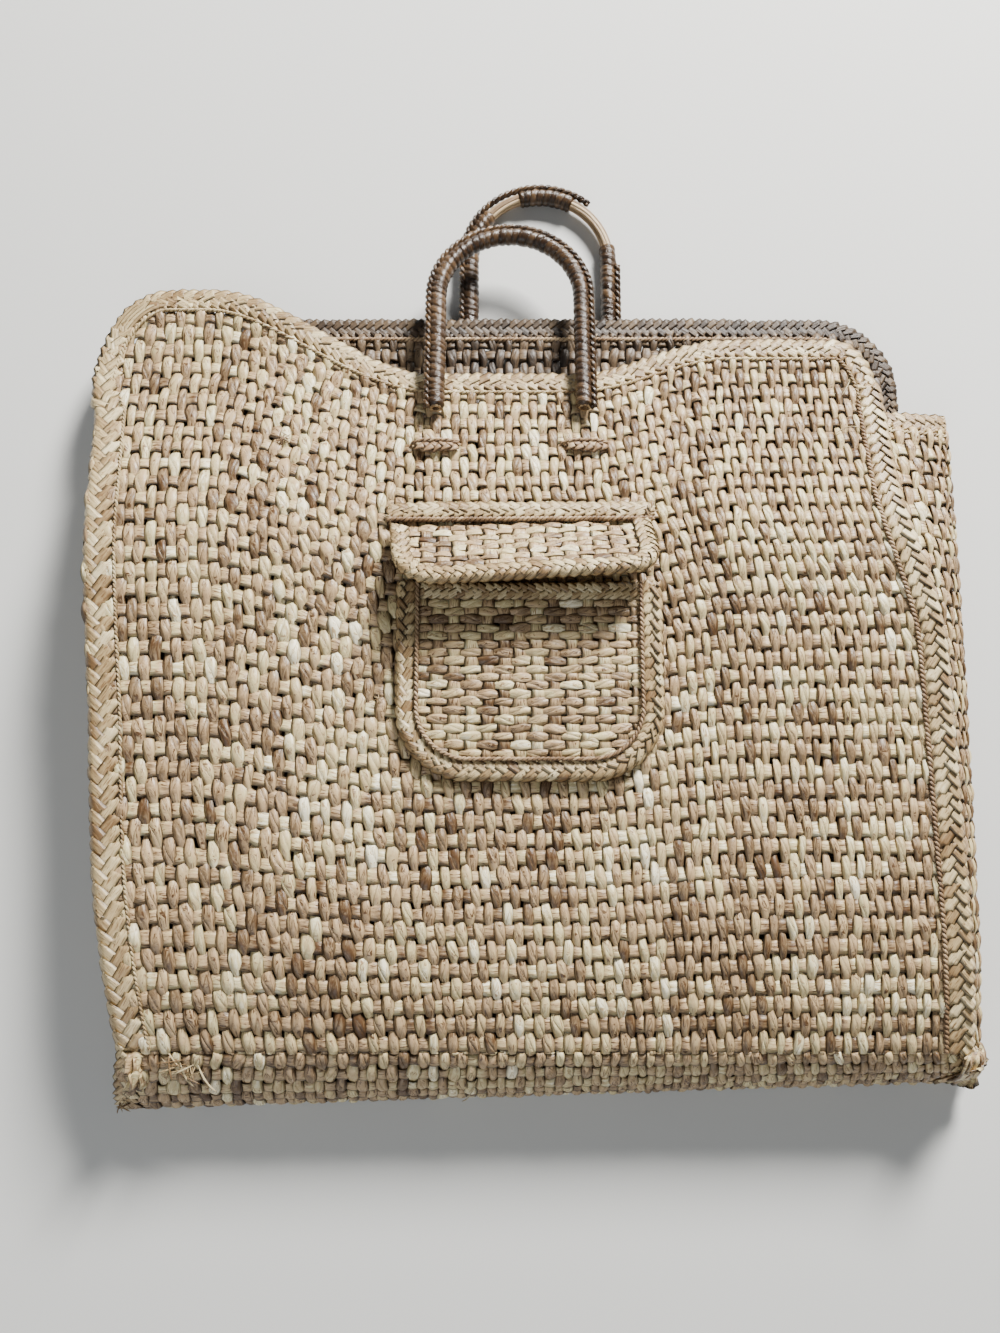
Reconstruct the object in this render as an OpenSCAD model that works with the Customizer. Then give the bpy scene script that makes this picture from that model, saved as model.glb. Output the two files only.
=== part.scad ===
// Large woven straw tote bag, empty, lying on its back panel.
// X runs to the right across the bag, Y from the base towards the handles, Z up from the floor.
// The back panel, base and side gussets are one body. The front panel with its pocket tilts
// up from the base crease, the pocket flap and the two handles each swing on their own line.

/* [Body] */
// Width of the front panel at the mouth, seam to seam
mouth_w = 497; // [440:1:600]
// Width of the front panel at the base crease, seam to seam
base_w = 476; // [420:1:580]
// How far the base lies to the right of the mouth
base_shift = 34.5; // [0:0.5:45]
// Length from the base crease to the straight rim of the back panel
body_h = 454; // [410:1:560]
// Height of the base crease above the floor
base_rise = 60; // [48:1:80]
// How far the base reaches out past the crease at its left end
base_run_left = 41; // [30:1:60]
// How far the base reaches out past the crease at its right end
base_run_right = 25; // [20:1:60]
// How much wider the base is at the floor than at the crease
base_spread = 20; // [0:1:40]
// Thickness of the woven mat
mat_t = 3; // [2:0.5:4]

/* [Mouth] */
// Height of the front panel's outer face at the mouth
front_rim_z = 28; // [26:1:44]
// How far below the straight back rim the front panel starts to fall
fall_drop = 177; // [134:1:254]
// Length over which the front panel falls to the mouth
fall_l = 160; // [120:1:200]
// How far the middle of the front rim lies below the straight rim of the back
front_dip = 45; // [30:1:70]
// Rise of the front rim's left ear above its middle
left_ear_rise = 58; // [30:1:62]
// Rise of the front rim's right ear above its middle
right_ear_rise = 24; // [10:1:40]
// Width of the left ear's rounded corner
left_ear_w = 45; // [30:1:70]
// Height of the left ear's rounded corner
left_ear_h = 65; // [40:1:80]
// Width of the right ear's rounded corner
right_ear_w = 25; // [22:1:50]
// Height of the right ear's rounded corner
right_ear_h = 45; // [30:1:70]
// Distance from the back panel's left seam in to the front panel's
back_left_in = 6; // [2:1:16]
// Distance from the front panel's right seam out to the back panel's
back_right_out = 18; // [4:1:24]
// Size of the back rim's rounded corners
back_ear = 50; // [30:1:70]

/* [Gussets] */
// Distance from the straight back rim down to the rim of the gussets
gusset_drop = 71; // [60:1:110]
// How far the right gusset's fold stands out past the back seam at the mouth
gusset_out = 26; // [14:1:34]
// How far the right gusset's fold stands out past the back seam at the base
gusset_out_base = 5; // [2:1:14]
// How far the left gusset is folded in at the mouth
gusset_in = 33; // [20:1:40]
// How far the left gusset is folded in at the base
gusset_in_base = 10; // [4:1:20]

/* [Plaited bindings] */
// Width of the plait that binds the panels
plait_w = 13; // [9:0.5:16]
// How much the plait stands proud of the mat
plait_proud = 1; // [0.5:0.25:2]
// Width of the twisted cord sewn beside a plait
cord_w = 3; // [2:0.5:4]
// How much the twisted cord stands proud of the mat
cord_proud = 1.6; // [1:0.2:2.4]

/* [Pocket] */
// Outer width of the pocket
pocket_w = 154; // [110:1:200]
// Outer length of the pocket from its mouth to its bottom
pocket_h = 115; // [85:1:150]
// Radius of the pocket's bottom corners
pocket_r = 42; // [22:1:50]
// Distance from the base crease up to the pocket's mouth
pocket_mouth_up = 265; // [220:1:276]
// Distance of the pocket's middle to the right of the mouth's middle
pocket_x = 26.5; // [0:0.5:60]
// Width of the pocket's edge plait
pocket_plait_w = 11; // [8:0.5:14]
// Width of the plait along the pocket's mouth
pocket_mouth_w = 9.5; // [7:0.5:12]
// Free height inside the pocket
pocket_gap = 5.3; // [4.5:0.1:10]

/* [Flap] */
// Width of the flap
flap_w = 156; // [110:1:200]
// Length of the flap from its hinge to its lower edge
flap_l = 52; // [46:1:60]
// Radius of the flap's lower corners
flap_r = 22; // [12.5:0.5:30]
// Distance from the pocket's mouth up to the flap's hinge
flap_above = 38; // [36:1:44]
// Distance of the flap's middle to the right of the mouth's middle
flap_x = 21.5; // [0:0.5:60]
// How far the flap stands up from level at rest
flap_rest = 38; // [20:1:60]
// Width of the plait that carries the flap
flap_top_w = 8; // [6:0.5:12]
// Width of the flap's edge plait
flap_plait_w = 11; // [8:0.5:12]
// Thickness of the flap's plaits
flap_t = 4; // [3.5:0.5:6]
// How far the flap's hinge line stands off the front panel
flap_seat = 0.9; // [0.9:0.1:2]

/* [Handles] */
// Distance between a handle's legs, centre to centre
handle_w = 92; // [70:1:130]
// Straight length of a handle's legs
handle_leg = 81; // [50:1:130]
// Outer diameter of the wrapped handle
handle_d = 11; // [8:0.5:12]
// Thickness of the wrapping
wrap_t = 1.1; // [0.6:0.1:2]
// Diameter of the stitched ridge along a handle's outer side
ridge_d = 4.4; // [3:0.2:6]
// Distance of the front handle's middle to the right of the mouth's middle
front_handle_x = 15.8; // [-20:0.1:50]
// Distance from the straight back rim down to the front handle's feet
front_foot_drop = 74; // [66:1:100]
// How steeply the front handle lies down towards the mouth
front_handle_fall = 8; // [4:0.5:9]
// Distance of the back handle's middle to the right of the mouth's middle
back_handle_x = 36; // [0:0.5:60]
// Distance from the straight back rim down to the back handle's feet
back_foot_drop = 34; // [26:1:38]
// Length of the tie below a handle's foot
tie_l = 28; // [16:1:36]
// Width of the tie
tie_w = 6.5; // [4:0.5:8]
// Thickness of the tie
tie_t = 2.6; // [2:0.2:3]
// Distance from a foot down to its tie
tie_drop = 24; // [14:1:36]

/* [Output] */
// The piece to draw

/* [Hidden] */
// Gap between pieces that move against each other
clearance = 0.3;
// Gap between a handle and what it passes over
handle_gap = 0.8;
// Gap between neighbouring pieces of one body
seam_gap = 0.05;
// Gap between the round base and the straight edge of the back panel
foot_gap = 0.45;
// Gap between a handle's tie and the panel it is sewn to
tie_seat = 0.45;
// Sizes well past the bag's outline, for shapes that others are cut from
far = 100;
big = 2000;

handle_r = handle_d / 2;
arch_r = handle_w / 2;
ridge_offset = handle_r + ridge_d / 2 + 2 * seam_gap;

// Main lines, measured from the base crease and the middle of the mouth. Then all is
// moved so that the middle of the whole bag lies at the origin.
mouth_left = -mouth_w / 2;
mouth_right = mouth_w / 2;
crease_left = base_shift - base_w / 2;
crease_right = base_shift + base_w / 2;
floor_left = crease_left - base_spread / 2;
floor_right = crease_right + base_spread / 2;
rim_y = body_h;
fall_start = rim_y - fall_drop;
front_rim_y = rim_y - front_dip;
gusset_y = rim_y - gusset_drop;
front_foot_y = rim_y - front_foot_drop;
back_foot_y = rim_y - back_foot_drop;
back_right = mouth_right + back_right_out;
back_left = mouth_left + back_left_in;

// The back panel lifts near the mouth to leave room for the back handle beneath it
back_lift = handle_d + handle_gap;
lift_to_foot = 8;
lift_end = back_foot_y - handle_r - lift_to_foot;
lift_l = 110;

// Extent of the whole bag
x_low = mouth_left;
x_high = back_right + gusset_out;
y_low = -max(base_run_left, base_run_right);
y_high = back_foot_y + handle_leg + arch_r + ridge_offset + ridge_d / 2;
x_mid = (x_low + x_high) / 2;
y_mid = (y_low + y_high) / 2;

module placed() {
    translate([-x_mid, -y_mid, 0]) children();
}

// ---- Shared curves ----

function smooth(t) = t <= 0 ? 0 : t >= 1 ? 1 : t * t * (3 - 2 * t);
function clip(t) = min(1, max(0, t));
function mix(a, b, t) = a + (b - a) * t;

// Outer face of the front panel and underside of the back panel along the bag
function front_z(y) = mix(base_rise, front_rim_z, smooth((y - fall_start) / fall_l));
function front_slope(y) = (front_z(y + 1) - front_z(y - 1)) / 2;
function back_z(y) = back_lift * smooth((y - lift_end + lift_l) / lift_l);

// The seams: the left one draws in towards the base, the right one flares below the mouth
ear_y = front_rim_y + left_ear_rise - left_ear_h;
left_draw = 1.7;
function left_x(y) = mix(mouth_left, crease_left, pow(clip((ear_y - y) / ear_y), left_draw));
flare_share = 0.7;
flare_l = 105;
flare_drop = 77;
flare_y = front_rim_y - flare_drop;
function right_x(y) = mix(mouth_right, crease_right,
    flare_share * smooth((flare_y - y) / flare_l) + (1 - flare_share) * clip((flare_y - y) / flare_y));

// The front rim: a flat middle that climbs to an ear at each end. Where each climb starts, from
// its own seam, and how long it is are shares of the mouth's width.
left_climb_start = 0.44;
left_climb_share = 0.3;
right_climb_start = 0.39;
right_climb_share = 0.2;
left_climb_x = mouth_left + left_climb_start * mouth_w;
left_climb_l = left_climb_share * mouth_w;
right_climb_x = mouth_right - right_climb_start * mouth_w;
right_climb_l = right_climb_share * mouth_w;
function corner_drop(from_edge, w, h) =
    from_edge >= w ? 0 : h * (1 - sqrt(max(0, 1 - pow(1 - from_edge / w, 2))));
function front_top(x) = front_rim_y
    + left_ear_rise * smooth((left_climb_x - x) / left_climb_l)
    + right_ear_rise * smooth((x - right_climb_x) / right_climb_l)
    - corner_drop(x - mouth_left, left_ear_w, left_ear_h)
    - corner_drop(mouth_right - x, right_ear_w, right_ear_h);

// ---- Outlines, drawn counter-clockwise from the bottom right ----

edge_steps = 9;
ear_steps = 7;
rim_steps = 13;
right_ear_y = front_top(mouth_right);
left_ear_y = front_top(mouth_left);
// Ears are stepped by angle so that their ends are round
function ear_share(i) = 1 - cos(90 * i / ear_steps);

front_outline = concat(
    [[crease_left, -far], [crease_right, -far]],
    [for (i = [0:edge_steps]) let (y = mix(0, right_ear_y, i / edge_steps)) [right_x(y), y]],
    [for (i = [1:ear_steps]) let (x = mouth_right - right_ear_w * ear_share(i)) [x, front_top(x)]],
    [for (i = [1:rim_steps]) let (x = mix(mouth_right - right_ear_w, mouth_left + left_ear_w, i / rim_steps))
        [x, front_top(x)]],
    [for (i = [1:ear_steps]) let (x = mouth_left + left_ear_w * ear_share(ear_steps - i))
        [x, front_top(x)]],
    [for (i = [1:edge_steps]) let (y = mix(left_ear_y, 0, i / edge_steps)) [left_x(y), y]]
);

base_wall = mat_t + plait_proud;
back_outline = concat(
    [[floor_left, -far], [floor_right, -far], [floor_right, 0]],
    [for (i = [0:ear_steps]) let (a = 90 * i / ear_steps)
        [back_right - back_ear * (1 - cos(a)), rim_y - back_ear * (1 - sin(a))]],
    [for (i = [0:ear_steps]) let (a = 90 + 90 * i / ear_steps)
        [back_left + back_ear * (1 + cos(a)), rim_y - back_ear * (1 - sin(a))]],
    [[floor_left, 0]]
);
// Everything above the base's foot
base_foot = [
    [floor_left, base_wall + foot_gap - base_run_left], [floor_right, base_wall + foot_gap - base_run_right],
    [back_right + big, rim_y], [back_right, big], [back_left - big, big], [back_left - big, rim_y]
];

// Moves each side of an outline inwards by d
function unit(v) = v / norm(v);
function inward(a, b) = let (u = unit(b - a)) [-u[1], u[0]];
function inset(points, d) = [for (i = [0:len(points) - 1])
    let (n = len(points), p = points[i],
        n1 = inward(points[(i + n - 1) % n], p), n2 = inward(p, points[(i + 1) % n]))
    p + (n1 + n2) * d / (1 + n1 * n2)];

module ring(points, from, to) {
    difference() {
        polygon(inset(points, from));
        polygon(inset(points, to));
    }
}

// ---- Bands that follow a panel's curve, from "low" to "high" above its datum face ----

band_steps = 12;
module swept_band(points) {
    translate([-big / 2, 0, 0]) rotate([90, 0, 90]) linear_extrude(big) polygon(points);
}
function front_ys() = concat([0], [for (i = [0:band_steps]) fall_start + fall_l * i / band_steps], [rim_y + far]);
module front_band(low, high) {
    ys = front_ys();
    swept_band(concat(
        [for (y = ys) [y, front_z(y) + low]],
        [for (i = [len(ys) - 1:-1:0]) [ys[i], front_z(ys[i]) + high]]));
}
function back_ys() = concat([-2 * far], [for (i = [0:band_steps]) lift_end - lift_l + lift_l * i / band_steps],
    [rim_y + far]);
module back_band(low, high) {
    ys = back_ys();
    swept_band(concat(
        [for (y = ys) [y, back_z(y) + low]],
        [for (i = [len(ys) - 1:-1:0]) [ys[i], back_z(ys[i]) + high]]));
}

// A 2D shape cut out of a band
module cut_front(low, high) {
    intersection() {
        front_band(low, high);
        linear_extrude(far) children();
    }
}
module cut_back(low, high) {
    intersection() {
        back_band(low, high);
        linear_extrude(far) children();
        linear_extrude(far) polygon(base_foot);
    }
}

// Zones that part a border into its left, right and rim pieces
module left_zone(y) {
    translate([max(mouth_left, crease_left) + 2 * plait_w - big, y - big]) square([big, big]);
}
module right_zone(y) {
    translate([min(mouth_right, crease_right) - 2 * plait_w, y - big]) square([big, big]);
}

// ---- A closed sheet between two grids of points ----

module sheet(outer, inner) {
    rows = len(outer);
    cols = len(outer[0]);
    count = rows * cols;
    points = concat([for (r = outer) for (p = r) p], [for (r = inner) for (p = r) p]);
    function at(r, c) = r * cols + c;
    faces = concat(
        [for (r = [0:rows - 2]) for (c = [0:cols - 2])
            for (f = [[at(r, c), at(r, c + 1), at(r + 1, c + 1)], [at(r, c), at(r + 1, c + 1), at(r + 1, c)]]) f],
        [for (r = [0:rows - 2]) for (c = [0:cols - 2]) for (f = [
            [count + at(r, c), count + at(r + 1, c + 1), count + at(r, c + 1)],
            [count + at(r, c), count + at(r + 1, c), count + at(r + 1, c + 1)]]) f],
        [for (c = [0:cols - 2]) for (f = [
            [at(0, c), count + at(0, c), count + at(0, c + 1)],
            [at(0, c), count + at(0, c + 1), at(0, c + 1)],
            [at(rows - 1, c), count + at(rows - 1, c + 1), count + at(rows - 1, c)],
            [at(rows - 1, c), at(rows - 1, c + 1), count + at(rows - 1, c + 1)]]) f],
        [for (r = [0:rows - 2]) for (f = [
            [at(r, 0), count + at(r + 1, 0), count + at(r, 0)],
            [at(r, 0), at(r + 1, 0), count + at(r + 1, 0)],
            [at(r, cols - 1), count + at(r, cols - 1), count + at(r + 1, cols - 1)],
            [at(r, cols - 1), count + at(r + 1, cols - 1), at(r + 1, cols - 1)]]) f]
    );
    polyhedron(points, faces, convexity = 4);
}

// ---- Base ----

base_steps = 8;
// A point of the base at share u across it and angle a down its round, d inside its outer face
function base_point(u, a, d) = let (
    x = mix(mix(crease_left, crease_right, u), mix(floor_left, floor_right, u), sin(a)),
    run = mix(base_run_left, base_run_right, u))
    [x, -clearance - (run - clearance - d) * sin(a), (base_rise - d) * cos(a)];
module base_strip(u0, u1, outside, inside) {
    outer = [for (i = [0:base_steps]) [for (u = [u0, u1]) base_point(u, 90 * i / base_steps, outside)]];
    inner = [for (i = [0:base_steps]) [for (u = [u0, u1]) base_point(u, 90 * i / base_steps, inside)]];
    sheet(outer, inner);
}
plait_share = plait_w / base_w;
seam_share = seam_gap / base_w;

// ---- Gussets ----

gusset_cols = 8;
gusset_rows = 9;
base_to_gusset = 8;
gusset_low_y = -min(base_run_left, base_run_right) + base_to_gusset;
// Inner face of the front panel, or of the base below the crease
function ceiling_z(y, run) = y >= 0 ? front_z(y) - mat_t
    : (base_rise - base_wall) * sqrt(max(0, 1 - pow(y / (run - base_wall - clearance), 2)));
function floor_z(y) = back_z(y) + mat_t + plait_proud;
// Middle line of a gusset's section from the front seam round its fold to the back seam
function fold_point(xa, za, xb, zb, xf, t) =
    [mix(xa, xb, t) + (xf - (xa + xb) / 2) * sin(180 * t), mix(za, zb, t)];
function fold_normal(xa, za, xb, zb, xf, t) = let (
    v = unit([xb - xa + (xf - (xa + xb) / 2) * PI * cos(180 * t), zb - za])) [v[1], -v[0]];
function gusset_row(y, xa, xb, xf, half, run, side) = let (
    za = ceiling_z(y, run) - clearance - half, zb = floor_z(y) + seam_gap + half)
    [for (i = [0:gusset_cols]) let (t = i / gusset_cols,
        p = fold_point(xa, za, xb, zb, xf, t) + side * half * fold_normal(xa, za, xb, zb, xf, t))
        [p[0], y, p[1]]];
function back_right_x(y) = mix(floor_right, back_right, clip(y / (rim_y - back_ear)));
function back_left_x(y) = mix(floor_left, back_left, clip(y / (rim_y - back_ear)));
function right_fold(y) = back_right_x(y) + mix(gusset_out_base, gusset_out, clip(y / gusset_y));
function left_fold(y) = left_x(y) + mix(gusset_in_base, gusset_in, clip(y / gusset_y));
module right_fold_strip(y0, y1, rows, t) {
    ys = [for (i = [0:rows]) mix(y0, y1, i / rows)];
    half = t / 2;
    in = plait_w / 2;
    function row(y, side) = gusset_row(y, right_x(y) - in, back_right_x(y) - in, right_fold(y) - half,
        half, base_run_right, side);
    sheet([for (y = ys) row(y, -1)], [for (y = ys) row(y, 1)]);
}
module left_fold_strip(y0, y1, rows, t) {
    ys = [for (i = [0:rows]) mix(y0, y1, i / rows)];
    half = t / 2;
    in = plait_w / 2;
    function row(y, side) = gusset_row(y, left_x(y) + in, back_left_x(y) + in, left_fold(y) + in - half,
        half, base_run_left, side);
    sheet([for (y = ys) row(y, -1)], [for (y = ys) row(y, 1)]);
}

// ---- Handles ----

// A round bar of radius r along a handle's loop, offset outwards, with its feet on the X axis
module loop_bar(r, offset = 0) {
    for (side = [-1, 1]) {
        translate([side * (arch_r + offset), 0, 0]) {
            rotate([-90, 0, 0]) cylinder(r = r, h = handle_leg, $fn = 24);
            sphere(r = r, $fn = 24);
        }
    }
    translate([0, handle_leg, 0]) rotate_extrude(angle = 180, $fn = 64)
        translate([arch_r + offset, 0]) circle(r = r, $fn = 24);
}
// The stretch of the arch between two angles, with room to cut a bar through
module arch_sector(from, to) {
    translate([0, handle_leg, -handle_d]) rotate([0, 0, from]) rotate_extrude(angle = to - from)
        translate([arch_r - handle_d, 0]) square([2 * handle_d, 2 * handle_d]);
}
front_foot_z = front_z(front_foot_y) + handle_r + handle_gap;
module front_handle_place() {
    translate([front_handle_x, front_foot_y, front_foot_z]) rotate([-front_handle_fall, 0, 0]) children();
}
module back_handle_place() {
    translate([back_handle_x, back_foot_y, handle_r]) children();
}
// A tie: a flat bar with round ends, lying in the XY plane with its face at Z = 0
module tie() {
    linear_extrude(tie_t) {
        square([tie_l - tie_w, tie_w], center = true);
        for (side = [-1, 1]) translate([side * (tie_l - tie_w) / 2, 0]) circle(d = tie_w, $fn = 24);
    }
}
module front_tie(side) {
    y = front_foot_y - tie_drop;
    tilt = atan(front_slope(y));
    translate([front_handle_x + side * arch_r, y, front_z(y) + tie_seat])
        rotate([tilt, 0, 0]) tie();
}
module back_tie(side) {
    y = back_foot_y - tie_drop - handle_r;
    translate([back_handle_x + side * arch_r, y, back_z(y) - tie_t - tie_seat]) tie();
}

// ---- Pocket and flap ----

corner_steps = 8;
// Outline of a pocket: square at its mouth, round at its bottom corners
pocket_outline = concat(
    [[pocket_x + pocket_w / 2, pocket_mouth_up], [pocket_x - pocket_w / 2, pocket_mouth_up]],
    [for (i = [0:corner_steps]) let (a = 180 + 90 * i / corner_steps)
        [pocket_x - pocket_w / 2 + pocket_r * (1 + cos(a)), pocket_mouth_up - pocket_h + pocket_r * (1 + sin(a))]],
    [for (i = [0:corner_steps]) let (a = 270 + 90 * i / corner_steps)
        [pocket_x + pocket_w / 2 - pocket_r * (1 - cos(a)), pocket_mouth_up - pocket_h + pocket_r * (1 + sin(a))]]
);
// Everything of a shape below the pocket's mouth plait
module below_mouth(d) {
    intersection() {
        children();
        translate([pocket_x - big / 2, pocket_mouth_up - d - big]) square([big, big]);
    }
}

flap_y = pocket_mouth_up + flap_above;
flap_hinge_z = front_z(flap_y) + flap_t + flap_seat;
flap_left = flap_x - flap_w / 2;
// The flap's outline hangs from its hinge line along -Y
flap_outline = concat(
    [[flap_w / 2, -clearance], [-flap_w / 2, -clearance]],
    [for (i = [0:corner_steps]) let (a = 180 + 90 * i / corner_steps)
        [-flap_w / 2 + flap_r * (1 + cos(a)), -flap_l + flap_r * (1 + sin(a))]],
    [for (i = [0:corner_steps]) let (a = 270 + 90 * i / corner_steps)
        [flap_w / 2 - flap_r * (1 - cos(a)), -flap_l + flap_r * (1 + sin(a))]]
);
flap_mat_outline = inset(flap_outline, flap_plait_w);
module flap_place() {
    translate([flap_x, flap_y, flap_hinge_z]) rotate([-flap_rest, 0, 0]) children();
}
// Everything of the flap's outline inside its edge plait, up to the hinge
module flap_inside() {
    polygon(flap_mat_outline);
    translate([-flap_w / 2 + flap_plait_w, -flap_plait_w - clearance - 1])
        square([flap_w - 2 * flap_plait_w, flap_plait_w + 1]);
}

// ---- The pieces ----

straw = [0.80, 0.71, 0.52];
pale_straw = [0.86, 0.78, 0.60];
shaded_straw = [0.66, 0.55, 0.38];
brown_straw = [0.58, 0.42, 0.26];

module back_mat() color(shaded_straw) placed()
    cut_back(0, mat_t) polygon(inset(back_outline, plait_w + seam_gap));
module back_rim_plait() color(straw) placed() cut_back(0, mat_t + plait_proud) difference() {
    ring(back_outline, 0, plait_w);
    left_zone(rim_y - back_ear);
    right_zone(rim_y - back_ear);
    translate([-big / 2, -big + rim_y - back_ear - far]) square([big, big]);
}
module back_left_plait() color(straw) placed() cut_back(0, mat_t + plait_proud) intersection() {
    ring(back_outline, 0, plait_w);
    left_zone(rim_y - back_ear - seam_gap);
}
module back_right_plait() color(straw) placed() cut_back(0, mat_t + plait_proud) intersection() {
    ring(back_outline, 0, plait_w);
    right_zone(rim_y - back_ear - seam_gap);
}
module back_rim_cord() color(brown_straw) placed()
    cut_back(mat_t + seam_gap, mat_t + cord_proud) intersection() {
        ring(back_outline, plait_w + 2 * seam_gap, plait_w + cord_w);
        translate([-big / 2, rim_y - back_ear]) square([big, big]);
    }
module base_mat() color(shaded_straw) placed()
    base_strip(plait_share + seam_share, 1 - plait_share - seam_share, plait_proud, plait_proud + mat_t);
module base_left_plait() color(straw) placed() base_strip(0, plait_share, 0, plait_proud + mat_t);
module base_right_plait() color(straw) placed() base_strip(1 - plait_share, 1, 0, plait_proud + mat_t);
module right_gusset() color(pale_straw) placed()
    right_fold_strip(gusset_low_y, gusset_y - plait_w - seam_gap, gusset_rows, mat_t);
module right_gusset_plait() color(straw) placed()
    right_fold_strip(gusset_y - plait_w, gusset_y, 1, mat_t + plait_proud);
module left_gusset() color(shaded_straw) placed()
    left_fold_strip(gusset_low_y, gusset_y - plait_w - seam_gap, gusset_rows, mat_t);
module left_gusset_plait() color(straw) placed()
    left_fold_strip(gusset_y - plait_w, gusset_y, 1, mat_t + plait_proud);
module back_tie_left() color(brown_straw) placed() back_tie(-1);
module back_tie_right() color(brown_straw) placed() back_tie(1);

module front_mat() color(pale_straw) placed()
    cut_front(-mat_t, 0) polygon(inset(front_outline, plait_w + seam_gap));
module front_rim_plait() color(straw) placed() cut_front(-mat_t, plait_proud) difference() {
    ring(front_outline, 0, plait_w);
    left_zone(left_ear_y);
    right_zone(right_ear_y);
    translate([-big / 2, -big + gusset_y - far]) square([big, big]);
}
module front_left_plait() color(straw) placed() cut_front(-mat_t, plait_proud) intersection() {
    ring(front_outline, 0, plait_w);
    left_zone(left_ear_y - seam_gap);
}
module front_right_plait() color(straw) placed() cut_front(-mat_t, plait_proud) intersection() {
    ring(front_outline, 0, plait_w);
    right_zone(right_ear_y - seam_gap);
}
module front_right_cord() color(brown_straw) placed() cut_front(seam_gap, cord_proud) intersection() {
    ring(front_outline, plait_w + 2 * seam_gap, plait_w + cord_w);
    right_zone(right_ear_y - seam_gap);
}
module front_tie_left() color(brown_straw) placed() front_tie(-1);
module front_tie_right() color(brown_straw) placed() front_tie(1);

module pocket_mat() color(pale_straw) placed() cut_front(pocket_gap, pocket_gap + mat_t)
    below_mouth(pocket_mouth_w + seam_gap) polygon(inset(pocket_outline, pocket_plait_w + seam_gap));
module pocket_edge_plait() color(straw) placed()
    cut_front(seam_gap, pocket_gap + mat_t + plait_proud) difference() {
        polygon(pocket_outline);
        polygon(inset(pocket_outline, pocket_plait_w));
        translate([pocket_x - pocket_w / 2 + pocket_plait_w, pocket_mouth_up - 2 * pocket_plait_w])
            square([pocket_w - 2 * pocket_plait_w, 3 * pocket_plait_w]);
    }
module pocket_edge_cord() color(brown_straw) placed()
    cut_front(pocket_gap + mat_t + seam_gap, pocket_gap + mat_t + cord_proud)
        below_mouth(pocket_mouth_w + 2 * seam_gap) difference() {
            polygon(inset(pocket_outline, pocket_plait_w + 2 * seam_gap));
            polygon(inset(pocket_outline, pocket_plait_w + cord_w));
            translate([pocket_x - pocket_w / 2 + pocket_plait_w + cord_w, pocket_mouth_up - 3 * pocket_plait_w])
                square([pocket_w - 2 * pocket_plait_w - 2 * cord_w, 3 * pocket_plait_w]);
        }
module pocket_mouth_plait() color(straw) placed() cut_front(pocket_gap, pocket_gap + mat_t + plait_proud)
    translate([pocket_x - pocket_w / 2 + pocket_plait_w + seam_gap, pocket_mouth_up - pocket_mouth_w])
        square([pocket_w - 2 * (pocket_plait_w + seam_gap), pocket_mouth_w]);

module flap_top_plait() color(straw) placed() cut_front(seam_gap, flap_t + flap_seat)
    translate([flap_left, flap_y + cord_w + seam_gap]) square([flap_w, flap_top_w]);
module flap_top_cord() color(brown_straw) placed() cut_front(seam_gap, cord_proud)
    translate([flap_left, flap_y]) square([flap_w, cord_w]);
module flap_mat() color(pale_straw) placed() flap_place()
    translate([0, 0, -(flap_t + mat_t) / 2]) linear_extrude(mat_t) intersection() {
        flap_inside();
        translate([-flap_w / 2 + flap_plait_w + seam_gap, -big])
            square([flap_w - 2 * (flap_plait_w + seam_gap), big - clearance]);
    }
module flap_edge_plait() color(straw) placed() flap_place()
    translate([0, 0, -flap_t]) linear_extrude(flap_t) difference() {
        polygon(flap_outline);
        flap_inside();
        translate([-flap_w / 2 + flap_plait_w, -clearance - 1]) square([flap_w - 2 * flap_plait_w, 2]);
    }

module front_handle_core() color(brown_straw) placed() front_handle_place() loop_bar(handle_r - wrap_t - seam_gap);
module front_handle_wrap() color(brown_straw) placed() front_handle_place() difference() {
    loop_bar(handle_r);
    loop_bar(handle_r - wrap_t);
}
module front_handle_ridge() color(brown_straw) placed() front_handle_place() loop_bar(ridge_d / 2, ridge_offset);

// Stretches of the back handle's arch where the wrapping has worn away
worn = [[10, 62], [110, 135]];
module back_handle_core() color(straw) placed() back_handle_place() loop_bar(handle_r - wrap_t - seam_gap);
module back_handle_wrap() color(brown_straw) placed() back_handle_place() difference() {
    loop_bar(handle_r);
    loop_bar(handle_r - wrap_t);
    for (gap = worn) arch_sector(gap[0], gap[1]);
}
module back_handle_ridge() color(brown_straw) placed() back_handle_place() loop_bar(ridge_d / 2, ridge_offset);

back_mat();
back_rim_plait();
back_left_plait();
back_right_plait();
back_rim_cord();
base_mat();
base_left_plait();
base_right_plait();
right_gusset();
right_gusset_plait();
left_gusset();
left_gusset_plait();
back_tie_left();
back_tie_right();
front_mat();
front_rim_plait();
front_left_plait();
front_right_plait();
front_right_cord();
front_tie_left();
front_tie_right();
pocket_mat();
pocket_edge_plait();
pocket_edge_cord();
pocket_mouth_plait();
flap_top_plait();
flap_top_cord();
flap_mat();
flap_edge_plait();
front_handle_core();
front_handle_wrap();
front_handle_ridge();
back_handle_core();
back_handle_wrap();
back_handle_ridge();
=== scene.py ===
"""Looks for the woven straw tote bag: strands, plaits, cords and wrapped handles around the CAD frame.

Shapes are worked out in millimetres, with X from the middle of the mouth, Y from the base crease
and Z from the floor, and moved to the row frame in metres when each mesh is made.
"""
import math

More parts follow.
